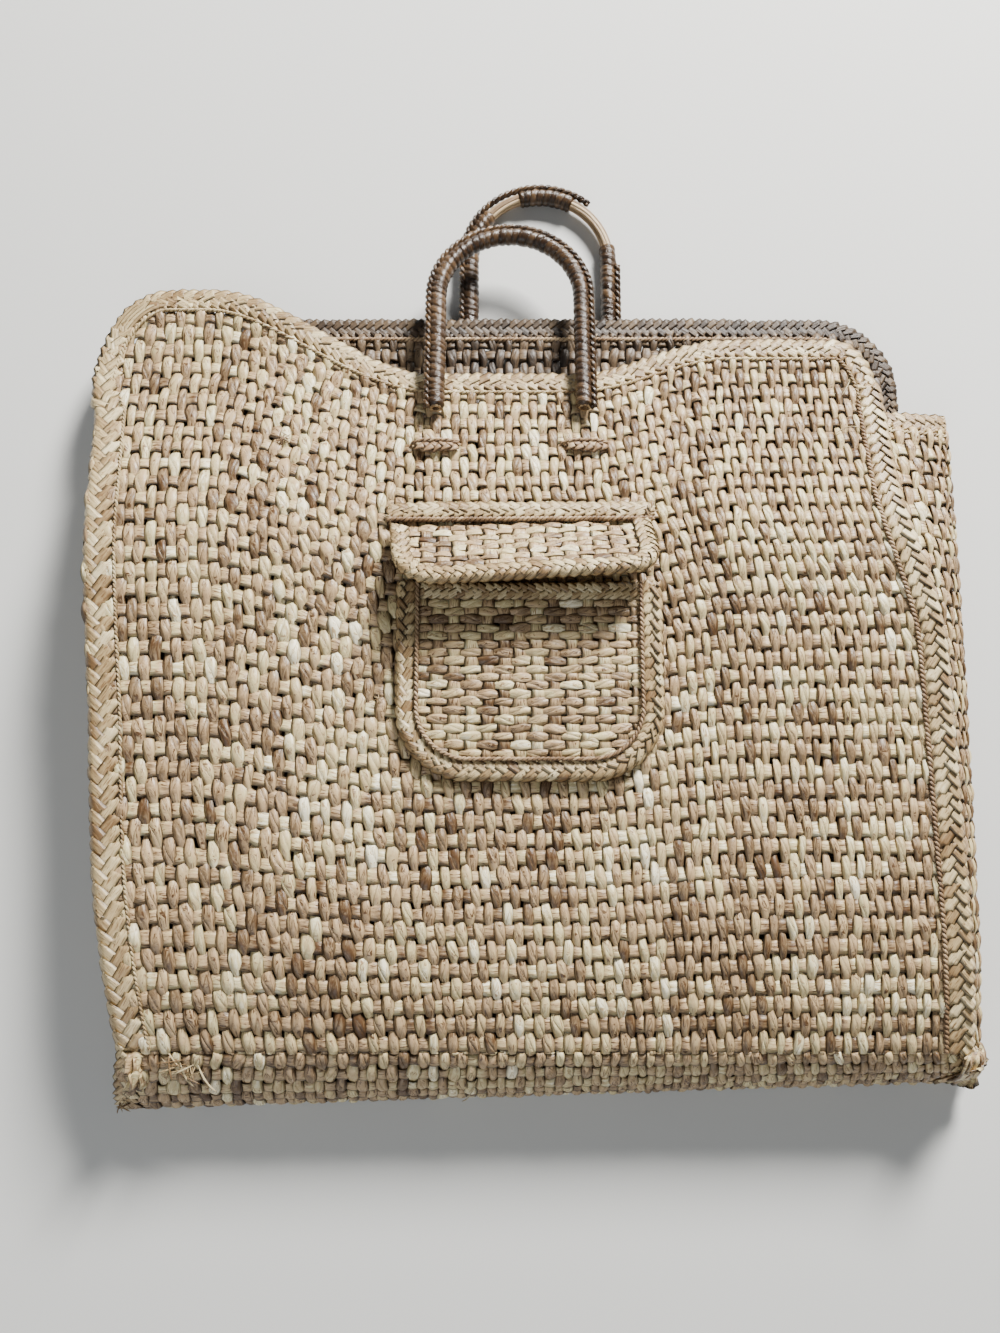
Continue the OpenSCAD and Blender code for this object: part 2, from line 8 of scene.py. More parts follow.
import bpy
import numpy as np
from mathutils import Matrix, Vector


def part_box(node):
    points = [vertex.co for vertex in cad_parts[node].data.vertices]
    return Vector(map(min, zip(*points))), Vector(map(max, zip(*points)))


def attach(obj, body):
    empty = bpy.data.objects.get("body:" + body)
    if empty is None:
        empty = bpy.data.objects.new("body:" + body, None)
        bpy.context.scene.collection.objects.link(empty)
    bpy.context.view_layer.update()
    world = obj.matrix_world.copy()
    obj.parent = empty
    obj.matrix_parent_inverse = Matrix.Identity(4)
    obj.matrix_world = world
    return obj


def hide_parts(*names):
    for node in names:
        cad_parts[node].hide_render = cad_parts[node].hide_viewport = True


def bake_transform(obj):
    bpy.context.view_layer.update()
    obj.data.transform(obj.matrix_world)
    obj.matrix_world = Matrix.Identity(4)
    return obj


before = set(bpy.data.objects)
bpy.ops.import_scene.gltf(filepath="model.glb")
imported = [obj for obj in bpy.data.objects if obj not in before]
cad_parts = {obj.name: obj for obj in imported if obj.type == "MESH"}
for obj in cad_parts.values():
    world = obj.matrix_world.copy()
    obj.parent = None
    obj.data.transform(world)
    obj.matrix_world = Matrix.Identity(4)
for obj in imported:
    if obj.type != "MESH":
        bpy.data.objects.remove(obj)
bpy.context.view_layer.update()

# ---- Sizes of the bag, in millimetres, as the CAD has them ----

MOUTH_W, BASE_W, BASE_SHIFT = 497.0, 476.0, 34.5
BODY_H, BASE_RISE = 454.0, 60.0
BASE_RUN_LEFT, BASE_RUN_RIGHT, BASE_SPREAD = 41.0, 25.0, 20.0
FRONT_RIM_Z, FALL_START, FALL_L = 28.0, 277.0, 160.0
FRONT_DIP, LEFT_EAR_RISE, RIGHT_EAR_RISE = 45.0, 58.0, 24.0
LEFT_EAR_W, LEFT_EAR_H, RIGHT_EAR_W, RIGHT_EAR_H = 45.0, 65.0, 25.0, 45.0
BACK_LEFT_IN, BACK_RIGHT_OUT, BACK_EAR = 6.0, 18.0, 50.0
GUSSET_DROP = 71.0
GUSSET_OUT, GUSSET_OUT_BASE, GUSSET_IN, GUSSET_IN_BASE = 26.0, 5.0, 33.0, 10.0
MAT_T, PLAIT_W = 3.0, 13.0
POCKET_W, POCKET_H, POCKET_R, POCKET_MOUTH_UP, POCKET_X = 154.0, 115.0, 42.0, 265.0, 26.5
FLAP_W, FLAP_L, FLAP_R, FLAP_X, FLAP_ABOVE = 156.0, 52.0, 22.0, 21.5, 38.0
HANDLE_W, HANDLE_LEG, HANDLE_D = 92.0, 81.0, 11.0
FRONT_HANDLE_X, BACK_HANDLE_X = 15.8, 36.0
FRONT_FOOT_DROP, BACK_FOOT_DROP, FRONT_HANDLE_FALL = 74.0, 34.0, 8.0
TIE_L, TIE_DROP = 28.0, 24.0

MOUTH_LEFT, MOUTH_RIGHT = -MOUTH_W / 2, MOUTH_W / 2
CREASE_LEFT, CREASE_RIGHT = BASE_SHIFT - BASE_W / 2, BASE_SHIFT + BASE_W / 2
FLOOR_LEFT, FLOOR_RIGHT = CREASE_LEFT - BASE_SPREAD / 2, CREASE_RIGHT + BASE_SPREAD / 2
RIM_Y = BODY_H
FRONT_RIM_Y = RIM_Y - FRONT_DIP
GUSSET_Y = RIM_Y - GUSSET_DROP
FRONT_FOOT_Y = RIM_Y - FRONT_FOOT_DROP
BACK_FOOT_Y = RIM_Y - BACK_FOOT_DROP
BACK_RIGHT, BACK_LEFT = MOUTH_RIGHT + BACK_RIGHT_OUT, MOUTH_LEFT + BACK_LEFT_IN
HANDLE_R, ARCH_R = HANDLE_D / 2, HANDLE_W / 2
HANDLE_GAP = 0.8
BACK_LIFT, LIFT_L = HANDLE_D + HANDLE_GAP, 110.0
LIFT_END = BACK_FOOT_Y - HANDLE_R - 8.0
EAR_Y = FRONT_RIM_Y + LEFT_EAR_RISE - LEFT_EAR_H
FLARE_Y, FLARE_L, FLARE_SHARE = FRONT_RIM_Y - 77.0, 105.0, 0.7
FLAP_Y = POCKET_MOUTH_UP + FLAP_ABOVE
# Not in the CAD: how far the soft front panel sags at the base crease, and over what length
CREASE_SAG, SAG_L = 12.0, 85.0
# How far from its own side each ear starts to rise, and over what length, as shares of the mouth's width
LEFT_EAR_FROM, LEFT_EAR_OVER = 0.44, 0.3
RIGHT_EAR_FROM, RIGHT_EAR_OVER = 0.39, 0.2

# Where the millimetre frame lies in the row frame
MM = 0.001
ORIGIN = np.array([
    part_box("front_left_plait")[0].x - MOUTH_LEFT * MM,
    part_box("front_mat")[0].y,
    0.0,
])


def to_row(points):
    """Millimetre points in the row frame, in metres."""
    return np.asarray(points, float) * MM + ORIGIN


# ---- The curves that the CAD's panels follow ----


def smooth(t):
    t = np.clip(t, 0.0, 1.0)
    return t * t * (3 - 2 * t)


def mix(a, b, t):
    return a + (b - a) * t


def front_z(y):
    """The CAD's curve, rounded off towards the base crease as the soft panel is."""
    sag = CREASE_SAG * np.clip(1 - y / SAG_L, 0, 1) ** 2
    return mix(BASE_RISE, FRONT_RIM_Z, smooth((y - FALL_START) / FALL_L)) - sag


def back_z(y):
    return BACK_LIFT * smooth((y - LIFT_END + LIFT_L) / LIFT_L)


def left_x(y):
    return mix(MOUTH_LEFT, CREASE_LEFT, np.clip((EAR_Y - y) / EAR_Y, 0, 1) ** 1.7)


def right_x(y):
    flare = FLARE_SHARE * smooth((FLARE_Y - y) / FLARE_L)
    straight = (1 - FLARE_SHARE) * np.clip((FLARE_Y - y) / FLARE_Y, 0, 1)
    return mix(MOUTH_RIGHT, CREASE_RIGHT, flare + straight)


def rim_line(x):
    """The front rim without its rounded corners."""
    left = smooth((MOUTH_LEFT + LEFT_EAR_FROM * MOUTH_W - x) / (LEFT_EAR_OVER * MOUTH_W))
    right = smooth((x - MOUTH_RIGHT + RIGHT_EAR_FROM * MOUTH_W) / (RIGHT_EAR_OVER * MOUTH_W))
    return FRONT_RIM_Y + LEFT_EAR_RISE * left + RIGHT_EAR_RISE * right


def corner_drop(from_edge, w, h):
    """How far a rounded corner w wide and h high lies below its straight edge."""
    t = np.clip(from_edge / w, 0, 1)
    return h * (1 - np.sqrt(np.clip(1 - (1 - t) ** 2, 0, 1)))


def front_top(x):
    return (rim_line(x) - corner_drop(x - MOUTH_LEFT, LEFT_EAR_W, LEFT_EAR_H)
            - corner_drop(MOUTH_RIGHT - x, RIGHT_EAR_W, RIGHT_EAR_H))


def back_right_x(y):
    return mix(FLOOR_RIGHT, BACK_RIGHT, np.clip(y / (RIM_Y - BACK_EAR), 0, 1))


def back_left_x(y):
    return mix(FLOOR_LEFT, BACK_LEFT, np.clip(y / (RIM_Y - BACK_EAR), 0, 1))


# ---- Meshes made of many strands ----


class Strands:
    """Collects closed strands of straw into one mesh, with what their material needs at each point."""

    def __init__(self):
        self.points, self.quads, self.caps = [], [], []
        self.shade, self.grain_and_edge_shade = [], []
        self.count = 0

    def add(self, rings, shade, along, across, number):
        """rings is (n, k, 3), shade is a number or (n,), and along is (n,).

        across is (k,) or (n, k). It is 0 inside the strand and 1 or -1 at its edges; the material paints
        shade on the strand where it nears 1 or -1.
        """
        n, k = rings.shape[:2]
        grain_and_edge_shade = np.empty((n, k, 3))
        grain_and_edge_shade[..., 0] = np.asarray(along)[:, None]
        grain_and_edge_shade[..., 1] = across
        grain_and_edge_shade[..., 2] = number
        self.add_skin(rings, np.repeat(np.broadcast_to(np.asarray(shade, float), (n,)), k), grain_and_edge_shade)

    def add_skin(self, rings, shade, grain_and_edge_shade):
        """The same, with shade and grain (along, across, number) given for every point."""
        n, k = rings.shape[:2]
        self.points.append(rings.reshape(-1, 3))
        self.shade.append(shade.ravel())
        self.grain_and_edge_shade.append(grain_and_edge_shade.reshape(-1, 3))
        ring = np.arange(n - 1)[:, None] * k
        step = np.arange(k)[None, :]
        turn = (step + 1) % k
        quads = np.stack([ring + step, ring + turn, ring + k + turn, ring + k + step], -1)
        self.quads.append(quads.reshape(-1, 4) + self.count)
        self.caps.append(np.arange(k)[::-1] + self.count)
        self.caps.append(np.arange(k) + self.count + (n - 1) * k)
        self.count += n * k

    def build(self, name, material, body, slot, stands_for=()):
        """Make the piece. body is None for a piece that is put on no body."""
        points = to_row(np.concatenate(self.points))
        quads = np.concatenate(self.quads)
        corners = [quads.ravel()] + self.caps
        sizes = [4] * len(quads) + [len(c) for c in self.caps]
        mesh = bpy.data.meshes.new(name)
        mesh.vertices.add(len(points))
        mesh.vertices.foreach_set("co", points.astype(np.float32).ravel())
        loops = np.concatenate(corners).astype(np.int32)
        mesh.loops.add(len(loops))
        mesh.loops.foreach_set("vertex_index", loops)
        mesh.polygons.add(len(sizes))
        starts = np.concatenate([[0], np.cumsum(sizes)[:-1]]).astype(np.int32)
        mesh.polygons.foreach_set("loop_start", starts)
        mesh.polygons.foreach_set("use_smooth", np.ones(len(sizes), bool))
        mesh.update(calc_edges=True)
        mesh.validate()
        for key, kind, field, values in (("shade", "FLOAT", "value", self.shade),
                                         ("grain_and_edge_shade", "FLOAT_VECTOR", "vector", self.grain_and_edge_shade)):
            layer = mesh.attributes.new(key, kind, "POINT")
            layer.data.foreach_set(field, np.concatenate(values).astype(np.float32).ravel())
        mesh.materials.append(material)
        piece = bpy.data.objects.new(name, mesh)
        bpy.context.scene.collection.objects.link(piece)
        if body:
            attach(piece, body)
        if stands_for:
            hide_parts(*stands_for)
        return piece


def unit(v):
    return v / np.maximum(np.linalg.norm(v, axis=-1, keepdims=True), 1e-9)


def ahead_of(line):
    """The direction of a line at each of its points."""
    return unit(np.gradient(line, axis=0))


def square_to(direction, along):
    """A direction turned square to another."""
    return unit(direction - along * (direction * along).sum(-1, keepdims=True))


def offset(centre, side, up, a, h):
    """Each centre moved a to its side and h up. Where a and h are (n, k), it becomes a ring of k points."""
    if a.ndim == 2:
        centre, side, up = centre[:, None], side[:, None], up[:, None]
    return centre + side * a[..., None] + up * h[..., None]


# Places across a flat strand: four on its domed top, then two on its underside
RIBBON_TOP = np.linspace(-1, 1, 4)
RIBBON_ACROSS = np.concatenate([RIBBON_TOP, [0.6, -0.6]])
RIBBON_LIFT = np.concatenate([1 - RIBBON_TOP ** 2, [0, 0]])
RIBBON_UNDER = np.array([0.0, 0.0, 0.0, 0.0, 1.0, 1.0])


def ribbon_rings(centre, forward, up, half_width, dome, thick):
    """Rings of a flat strand, and the across value of each point of a ring, which sets the painted shade at
    its edges.
    """
    side = unit(np.cross(up, forward))
    half_width = np.broadcast_to(np.asarray(half_width, float), (len(centre),))[:, None]
    dome = np.broadcast_to(np.asarray(dome, float), (len(centre),))[:, None]
    height = dome * RIBBON_LIFT[None] - thick * RIBBON_UNDER[None]
    return offset(centre, side, up, half_width * RIBBON_ACROSS[None], height), RIBBON_ACROSS


def inside_outline(points, outline, margin):
    """Which XY points lie inside a closed outline, at least margin from its edge."""
    a = outline
    b = np.roll(outline, -1, 0)
    px, py = points[..., 0].ravel()[:, None], points[..., 1].ravel()[:, None]
    cross = (a[:, 1] > py) != (b[:, 1] > py)
    with np.errstate(divide="ignore", invalid="ignore"):
        at = a[:, 0] + (py - a[:, 1]) * (b[:, 0] - a[:, 0]) / (b[:, 1] - a[:, 1])
    odd = np.sum(cross & (px < at), 1) % 2 == 1
    ab = b - a
    t = ((px - a[:, 0]) * ab[:, 0] + (py - a[:, 1]) * ab[:, 1]) / np.maximum((ab ** 2).sum(1), 1e-9)
    t = np.clip(t, 0, 1)
    gap = np.hypot(px - a[:, 0] - t * ab[:, 0], py - a[:, 1] - t * ab[:, 1]).min(1)
    return (odd & (gap >= margin)).reshape(points.shape[:-1])


LEAST_RUN = 3


def runs(mask):
    """Start and end of each stretch of True that is long enough for a strand."""
    edges = np.flatnonzero(np.diff(np.concatenate([[0], mask.astype(int), [0]])))
    return [(a, b) for a, b in zip(edges[::2], edges[1::2]) if b - a >= LEAST_RUN]


def keep_inside(outline, margin):
    """A test for points that lie inside an outline, at least margin from its edge."""
    def keep(points):
        return inside_outline(points[..., :2], outline, margin)
    return keep


# A strand's half width as a share of the strands' spacing, and its heights in millimetres
BEAD = {"half": 0.63, "rise": 1.35, "dome": 1.35, "thick": 0.5, "weft_half": 0.40, "weft_wave": 0.8}


def surface_steps(surface, u, v):
    """How far a surface goes for each unit of u and of v."""
    e = 1e-3
    du = (surface(u + e, v) - surface(u - e, v)) / (2 * e)
    dv = (surface(u, v + e) - surface(u, v - e)) / (2 * e)
    return du, dv


def surface_frame(surface, u, v):
    """Points of a surface with its unit normals and its two directions."""
    du, dv = surface_steps(surface, u, v)
    return surface(u, v), unit(np.cross(du, dv)), unit(du), unit(dv)


def line_length(points):
    return np.linalg.norm(np.diff(points, axis=0), axis=1).sum()


def strand_places(rng, count, uneven):
    """Where a weave's rows or columns lie, 0 to 1. They aren't spaced quite evenly."""
    return (np.arange(count) + 0.5 + rng.normal(0, uneven, count)) / count


def strand_numbers(at, places):
    """Which row or column each place is at. The numbers run on past the first and the last."""
    count = len(places)
    number = np.interp(at, places, np.arange(count))
    number = np.where(at < places[0], (at - places[0]) * count, number)
    return np.where(at > places[-1], count - 1 + (at - places[-1]) * count, number)


CREASE, UNDERSIDE = 3, slice(7, 9)


def creased_section(crease):
    """Nine places across a plump strand, -1 to 1: seven on top, set round its crease, and two beneath."""
    edge = np.ones_like(crease)
    return np.stack([-edge, (crease - 1.13) / 2, crease - 0.13, crease, crease + 0.13, (crease + 1.13) / 2,
                     edge, 0.6 * edge, -0.6 * edge], -1)


def warp_strand(rng, surface, u, v, number, counts, widen, size, lift):
    """One plump strand: it swells into a creased bead wherever it passes over a row."""
    columns, rows = counts
    p, up, _, forward = surface_frame(surface, u, v)
    number = number + rng.normal(0, 0.05)
    bead = np.round(number / 2).astype(int)
    off_bead = number - 2 * bead
    phase = math.pi * off_bead
    # Each bead differs a little in width, height, direction, slope, crease and tone
    beads = bead.max() + 4
    wide = 1 + rng.normal(0, 0.09, beads)[bead]
    plump = 1 + rng.normal(0, 0.2, beads)[bead]
    yaw = rng.normal(0, 0.1, beads)[bead]
    lean = rng.normal(0, 0.3, beads)[bead]
    crease_way = rng.choice([-1.0, 1.0, 1.0], beads)[bead]
    crease_deep = (rng.random(beads) ** 0.8)[bead]
    crease_at = rng.normal(0, 0.25, beads)[bead]
    shade = (0.35 * rng.random() + 0.65 * rng.random(beads))[bead]
    arch = np.cos(0.8 * phase)
    over = np.cos(phase / 2)
    du, dv = surface_steps(surface, u, v)
    spacing = np.linalg.norm(du, axis=-1) / columns * widen
    row_gap = np.linalg.norm(dv, axis=-1) / rows
    side = unit(np.cross(up, forward))
    centre = p + up * (lift + size["rise"] * arch - 0.15)[:, None]
    centre = centre + side * (yaw * off_bead * row_gap * over ** 2)[:, None]
    half = size["half"] * spacing * wide * (0.71 + 0.29 * arch)
    dome = size["dome"] * plump * (0.2 + 0.8 * np.clip(over, 0, 1))
    s = creased_section(np.clip(crease_way * off_bead * 1.3 + crease_at, -0.78, 0.78))
    domed = dome[:, None] * (1 - np.abs(s) ** 2.2)
    height = domed + lean[:, None] * s
    height[:, CREASE] -= 0.6 * crease_deep * over ** 2
    height[:, UNDERSIDE] -= domed[:, UNDERSIDE] + size["thick"]
    across = np.abs(s)
    # Painted shade in the crease: its middle point takes an across value near an edge's, so the material
    # darkens it
    across[:, CREASE] = 0.55 + 0.45 * crease_deep
    return p, offset(centre, side, up, half[:, None] * s, height), shade, across


def weft_strand(rng, surface, u, v, wander, number, counts, size, lift):
    """One flat strand, which dips under each plump strand that passes over it."""
    columns, rows = counts
    p, up, forward, _ = surface_frame(surface, u, v + wander)
    wave = np.cos(math.pi * number)
    wave = np.sign(wave) * np.abs(wave) ** 0.6
    centre = p + up * (lift + 0.1 - size["weft_wave"] * wave)[:, None]
    row_gap = np.linalg.norm(surface_steps(surface, u, v)[1], axis=-1) / rows
    place = u * columns
    each = np.arange(columns + 1)
    half = size["weft_half"] * row_gap * np.interp(place, each, 1 + 0.12 * rng.normal(0, 1, columns + 1))
    each_second = each[::2]
    tilt = np.interp(place, each_second, rng.normal(0.13, 0.1, len(each_second)))
    shade = 0.4 * rng.random() + 0.6 * np.interp(place, each, rng.random(columns + 1))
    tilted = unit(up + unit(np.cross(up, forward)) * tilt[:, None])
    rings, across = ribbon_rings(centre, forward, tilted, half, 0.35, 0.45)
    return p, rings, shade, across


def weave(surface, columns, rows, keep, seed, size=BEAD, per_row=5, lift=-1.5, spread=0.0):
    """Plain weave on a surface(u, v): plump strands along v pass over and under flat strands along u."""
    rng = np.random.default_rng(seed)
    counts = (columns, rows)
    warp, weft = Strands(), Strands()
    row_at = strand_places(rng, rows, 0.05)
    col_at = strand_places(rng, columns, 0.07)
    col_at = col_at + spread * np.sin(math.pi * col_at)
    v = np.linspace(0, 1, rows * per_row + 1)
    row_number = strand_numbers(v, row_at)
    length = line_length(surface(np.full_like(v, 0.5), v))
    for i in range(columns):
        u = np.full_like(v, col_at[i]) + rng.normal(0, 0.02) / columns * np.sin(v * 9 + i)
        widen = 1 + spread * math.pi * math.cos(math.pi * col_at[i])
        p, rings, shade, across = warp_strand(
            rng, surface, u, v, row_number + i, counts, widen, size, lift)
        for a, b in runs(keep(p)):
            warp.add(rings[a:b], shade[a:b], v[a:b] * length, across[a:b], i * 0.37 + seed)
    u = np.linspace(0, 1, columns * 4 + 1)
    column_number = strand_numbers(u, col_at)
    length = line_length(surface(u, np.full_like(u, 0.5)))
    for j in range(rows):
        wander = rng.normal(0, 0.04) / rows * np.sin(u * 11 + j)
        p, rings, shade, across = weft_strand(
            rng, surface, u, np.full_like(u, row_at[j]), wander, column_number + j, counts, size, lift)
        for a, b in runs(keep(p)):
            weft.add(rings[a:b], shade[a:b], u[a:b] * length, across, 50 + j * 0.41 + seed)
    return warp, weft


# ---- Plaits, cords and tubes along a path ----


class Path:
    """A line with its up direction, read at any distance along it."""

    def __init__(self, points, up):
        self.points = np.asarray(points, float)
        self.up = np.broadcast_to(np.asarray(up, float), self.points.shape)
        gaps = np.linalg.norm(np.diff(self.points, axis=0), axis=1)
        self.s = np.concatenate([[0], np.cumsum(gaps)])
        self.length = self.s[-1]

    def read(self, values, s):
        """Values given at the line's points, read at distances s."""
        return np.stack([np.interp(s, self.s, values[:, i]) for i in range(3)], -1)

    def at(self, s):
        """Point, forward, side and up at distances s."""
        ahead = self.read(self.points, np.minimum(s + 1, self.length))
        behind = self.read(self.points, np.maximum(s - 1, 0))
        forward = unit(ahead - behind)
        up = square_to(self.read(self.up, s), forward)
        return self.read(self.points, s), forward, np.cross(forward, up), up


def flat_section(a, h):
    """A plait that lies flat."""
    return a, h, np.zeros_like(a)


def rolled_section(start, radius, most):
    """A plait whose outer part rolls down round the panel's edge. Outer is +a."""
    def section(a, h):
        angle = np.clip((a - start) / radius, 0, most)
        rest = np.maximum(a - start - most * radius, 0)
        out = np.minimum(a, start) + (radius + h) * np.sin(angle) + rest * math.cos(most)
        down = np.where(a > start, -radius + (radius + h) * np.cos(angle) - rest * math.sin(most), h)
        return out, down, angle
    return section


# How far each strand of a plait tilts over its neighbour, like a shingle
SHINGLE = 0.16


def plait(out, path, width, pitch, top, bottom, seed, section=flat_section, strands=5, half=None, dome=0.12):
    """A flat plait: each strand runs inwards on top, dives in the middle and comes back beneath."""
    rng = np.random.default_rng(seed)
    half = half or 0.47 * pitch
    reach = width / 2 - 0.55 * half
    cycle = strands * pitch
    n = max(8, int(path.length / (pitch / 5)))
    s = np.linspace(0, path.length, n)
    knots = np.linspace(0, path.length, max(4, int(path.length / 25)))
    wobble = np.interp(s, knots, rng.normal(0, 0.35, len(knots)))
    pace = np.interp(s, knots, np.cumsum(rng.normal(0, 0.05, len(knots))))
    for k in range(strands):
        p = s / cycle + k / strands + pace / strands + rng.normal(0, 0.008)
        c = p % 1.0
        a = np.where(c < 0.5, 4 * c - 1, 3 - 4 * c)
        a = np.sign(a) * (1 - np.sqrt((1 - np.abs(a)) ** 2 + 0.006) + 0.03) * reach + wobble
        q = (p % 0.5) / 0.5
        # On top from just inside one edge to just past the middle
        wave = smooth(np.minimum(q + 0.06, 0.60 - q) / 0.10)
        h = mix(bottom, top, wave)
        point, forward, side, up = path.at(s)
        out_a, out_h, angle = section(a, h)
        centre = offset(point, side, up, out_a, out_h)
        direction = ahead_of(centre)
        normal = up * np.cos(angle)[:, None] + side * np.sin(angle)[:, None]
        part = np.floor(p * 2).astype(int)
        part -= part.min()
        n_parts = part.max() + 1
        shade = 0.3 * rng.random() + 0.7 * rng.random(n_parts)[part]
        tilt = (SHINGLE + rng.normal(0, 0.05, n_parts))[part] * wave
        normal = unit(square_to(normal, direction) + forward * tilt[:, None])
        wide = half * (1 + rng.normal(0, 0.08, n_parts))[part]
        rings, across = ribbon_rings(centre, direction, normal, wide, dome, 0.35)
        out.add(rings, shade, s * 1.4, across, k * 3.1 + seed)


CORD_TURN, CORD_STRANDS, CORD_SIDES = 5.6, 2, 6


def rope(out, path, radius, strand_r, turn, seed, a=0.0, h=0.0):
    """A twisted cord of round strands along a path, a to its side and h above it."""
    rng = np.random.default_rng(seed)
    n = max(8, int(path.length / (turn / 9)))
    s = np.linspace(0, path.length, n)
    point, _, side, up = path.at(s)
    ring = np.linspace(0, 2 * math.pi, CORD_SIDES, endpoint=False)
    for k in range(CORD_STRANDS):
        phase = 2 * math.pi * (s / turn + k / CORD_STRANDS)
        centre = offset(point, side, up, a + radius * np.cos(phase), h + radius * np.sin(phase))
        direction = ahead_of(centre)
        across = unit(np.cross(up, direction))
        rise = np.cross(direction, across)
        rings = offset(centre, across, rise, strand_r * np.cos(ring)[None], strand_r * np.sin(ring)[None])
        shade = np.interp(s, np.linspace(0, path.length, 30), rng.random(30))
        # Painted shade: across is the cosine of the angle round each strand, so the material darkens the
        # strand's two sides
        out.add(rings, shade, s, np.cos(ring), k * 2.7 + seed)


STRAW_POINTS = 14


def straw(out, points, width, thick, seed, shade):
    """One loose flat straw through a few points, thinner at its ends."""
    rng = np.random.default_rng(seed)
    points = np.asarray(points, float)
    fine = np.linspace(0, 1, STRAW_POINTS)
    given = np.linspace(0, 1, len(points))
    curve = np.stack([np.interp(fine, given, points[:, i]) for i in range(3)], -1)
    for _ in range(3):
        curve[1:-1] = (curve[:-2] + 2 * curve[1:-1] + curve[2:]) / 4
    direction = ahead_of(curve)
    up = np.broadcast_to(unit(np.array([rng.normal(0, 0.4), rng.normal(0, 0.4), 1.0])), curve.shape)
    up = square_to(up, direction)
    half = width / 2 * np.clip(1.15 - np.abs(2 * fine - 1) ** 3, 0.15, 1)
    rings, across = ribbon_rings(curve, direction, up, half, thick * 0.5, thick)
    out.add(rings, shade, fine * 30, across, seed)


# ---- Materials ----


def srgb(r, g, b):
    """A colour given 0 to 255, as the linear colour that shaders take."""
    def one(c):
        c /= 255
        return c / 12.92 if c <= 0.04045 else ((c + 0.055) / 1.055) ** 2.4
    return one(r), one(g), one(b), 1.0


# How strongly the fibres streak a straw, how deep their relief is, and how dark the painted shade at a
# straw's edges is
STREAK, BUMP, PAINTED_EDGE_SHADE = 0.55, 0.8, 0.85


def straw_material(name, colours, roughness):
    """Straw: its colour from each strand's shade, long fibres along it, and painted shade darkening it
    towards its edges.
    """
    material = bpy.data.materials.new(name)
    material.use_nodes = True
    nodes, links = material.node_tree.nodes, material.node_tree.links
    shader = nodes["Principled BSDF"]
    shader.inputs["Roughness"].default_value = roughness

    def node(kind, **values):
        made = nodes.new(kind)
        for key, value in values.items():
            setattr(made, key, value)
        return made

    def set_inputs(made, values):
        for key, value in values.items():
            made.inputs[key].default_value = value

    def noise(vector, values):
        made = node("ShaderNodeTexNoise")
        set_inputs(made, values)
        links.new(vector, made.inputs["Vector"])
        return made.outputs["Fac"]

    def stretched_grain(scale):
        """The strand's own coordinates. Small numbers draw the pattern out and large ones pack it."""
        made = node("ShaderNodeVectorMath", operation="MULTIPLY")
        made.inputs[1].default_value = scale
        links.new(grain_and_edge_shade.outputs["Vector"], made.inputs[0])
        return made.outputs[0]

    def maths(operation, a, b):
        made = node("ShaderNodeMath", operation=operation)
        for socket, value in zip(made.inputs, (a, b)):
            if isinstance(value, (int, float)):
                socket.default_value = value
            else:
                links.new(value, socket)
        return made.outputs[0]

    shade = node("ShaderNodeAttribute", attribute_name="shade")
    grain_and_edge_shade = node("ShaderNodeAttribute", attribute_name="grain_and_edge_shade")
    # Fibres: long along the strand and thin across it
    fibres = noise(stretched_grain((0.11, 3.2, 7.0)), {"Scale": 1.0, "Detail": 4.0, "Roughness": 0.65})
    # Slow changes of tone over the whole bag
    place = node("ShaderNodeTexCoord")
    patches = noise(place.outputs["Object"], {"Scale": 14.0, "Detail": 2.0})
    # Thin dark lines where the straw has wrinkled along its length
    wrinkles = noise(stretched_grain((0.2, 6.0, 11.0)), {"Scale": 1.0, "Detail": 2.0, "Distortion": 0.6})
    line = node("ShaderNodeMapRange", interpolation_type="SMOOTHSTEP")
    set_inputs(line, {"From Min": 0.34, "From Max": 0.44, "To Min": -0.55, "To Max": 0.0})
    links.new(wrinkles, line.inputs["Value"])
    tone = maths("ADD", maths("MULTIPLY", maths("SUBTRACT", fibres, 0.5), 2.0 * STREAK), shade.outputs["Fac"])
    tone = maths("ADD", tone, line.outputs["Result"])
    tone = maths("ADD", tone, maths("MULTIPLY", maths("SUBTRACT", patches, 0.5), 0.5))
    ramp = node("ShaderNodeValToRGB")
    while len(ramp.color_ramp.elements) < len(colours):
        ramp.color_ramp.elements.new(0.5)
    for i, (element, colour) in enumerate(zip(ramp.color_ramp.elements, colours)):
        element.position = i / (len(colours) - 1)
        element.color = srgb(*colour)
    links.new(tone, ramp.inputs["Fac"])
    # Painted shade: a strand is darkened towards its edges, for the shadow its neighbours cast there
    split = node("ShaderNodeSeparateXYZ")
    links.new(grain_and_edge_shade.outputs["Vector"], split.inputs[0])
    edge = maths("POWER", maths("ABSOLUTE", split.outputs["Y"], 0.0), 6.0)
    dark = node("ShaderNodeMix", data_type="RGBA", blend_type="MULTIPLY")
    dark.inputs["Factor"].default_value = 1.0
    grey = node("ShaderNodeMapRange")
    set_inputs(grey, {"To Min": 1.0, "To Max": 1.0 - PAINTED_EDGE_SHADE})
    links.new(edge, grey.inputs["Value"])
    links.new(ramp.outputs["Color"], dark.inputs["A"])
    links.new(grey.outputs["Result"], dark.inputs["B"])
    links.new(dark.outputs["Result"], shader.inputs["Base Color"])
    relief = node("ShaderNodeBump")
    set_inputs(relief, {"Strength": BUMP, "Distance": 0.0006})
    links.new(fibres, relief.inputs["Height"])
    links.new(relief.outputs["Normal"], shader.inputs["Normal"])
    return material


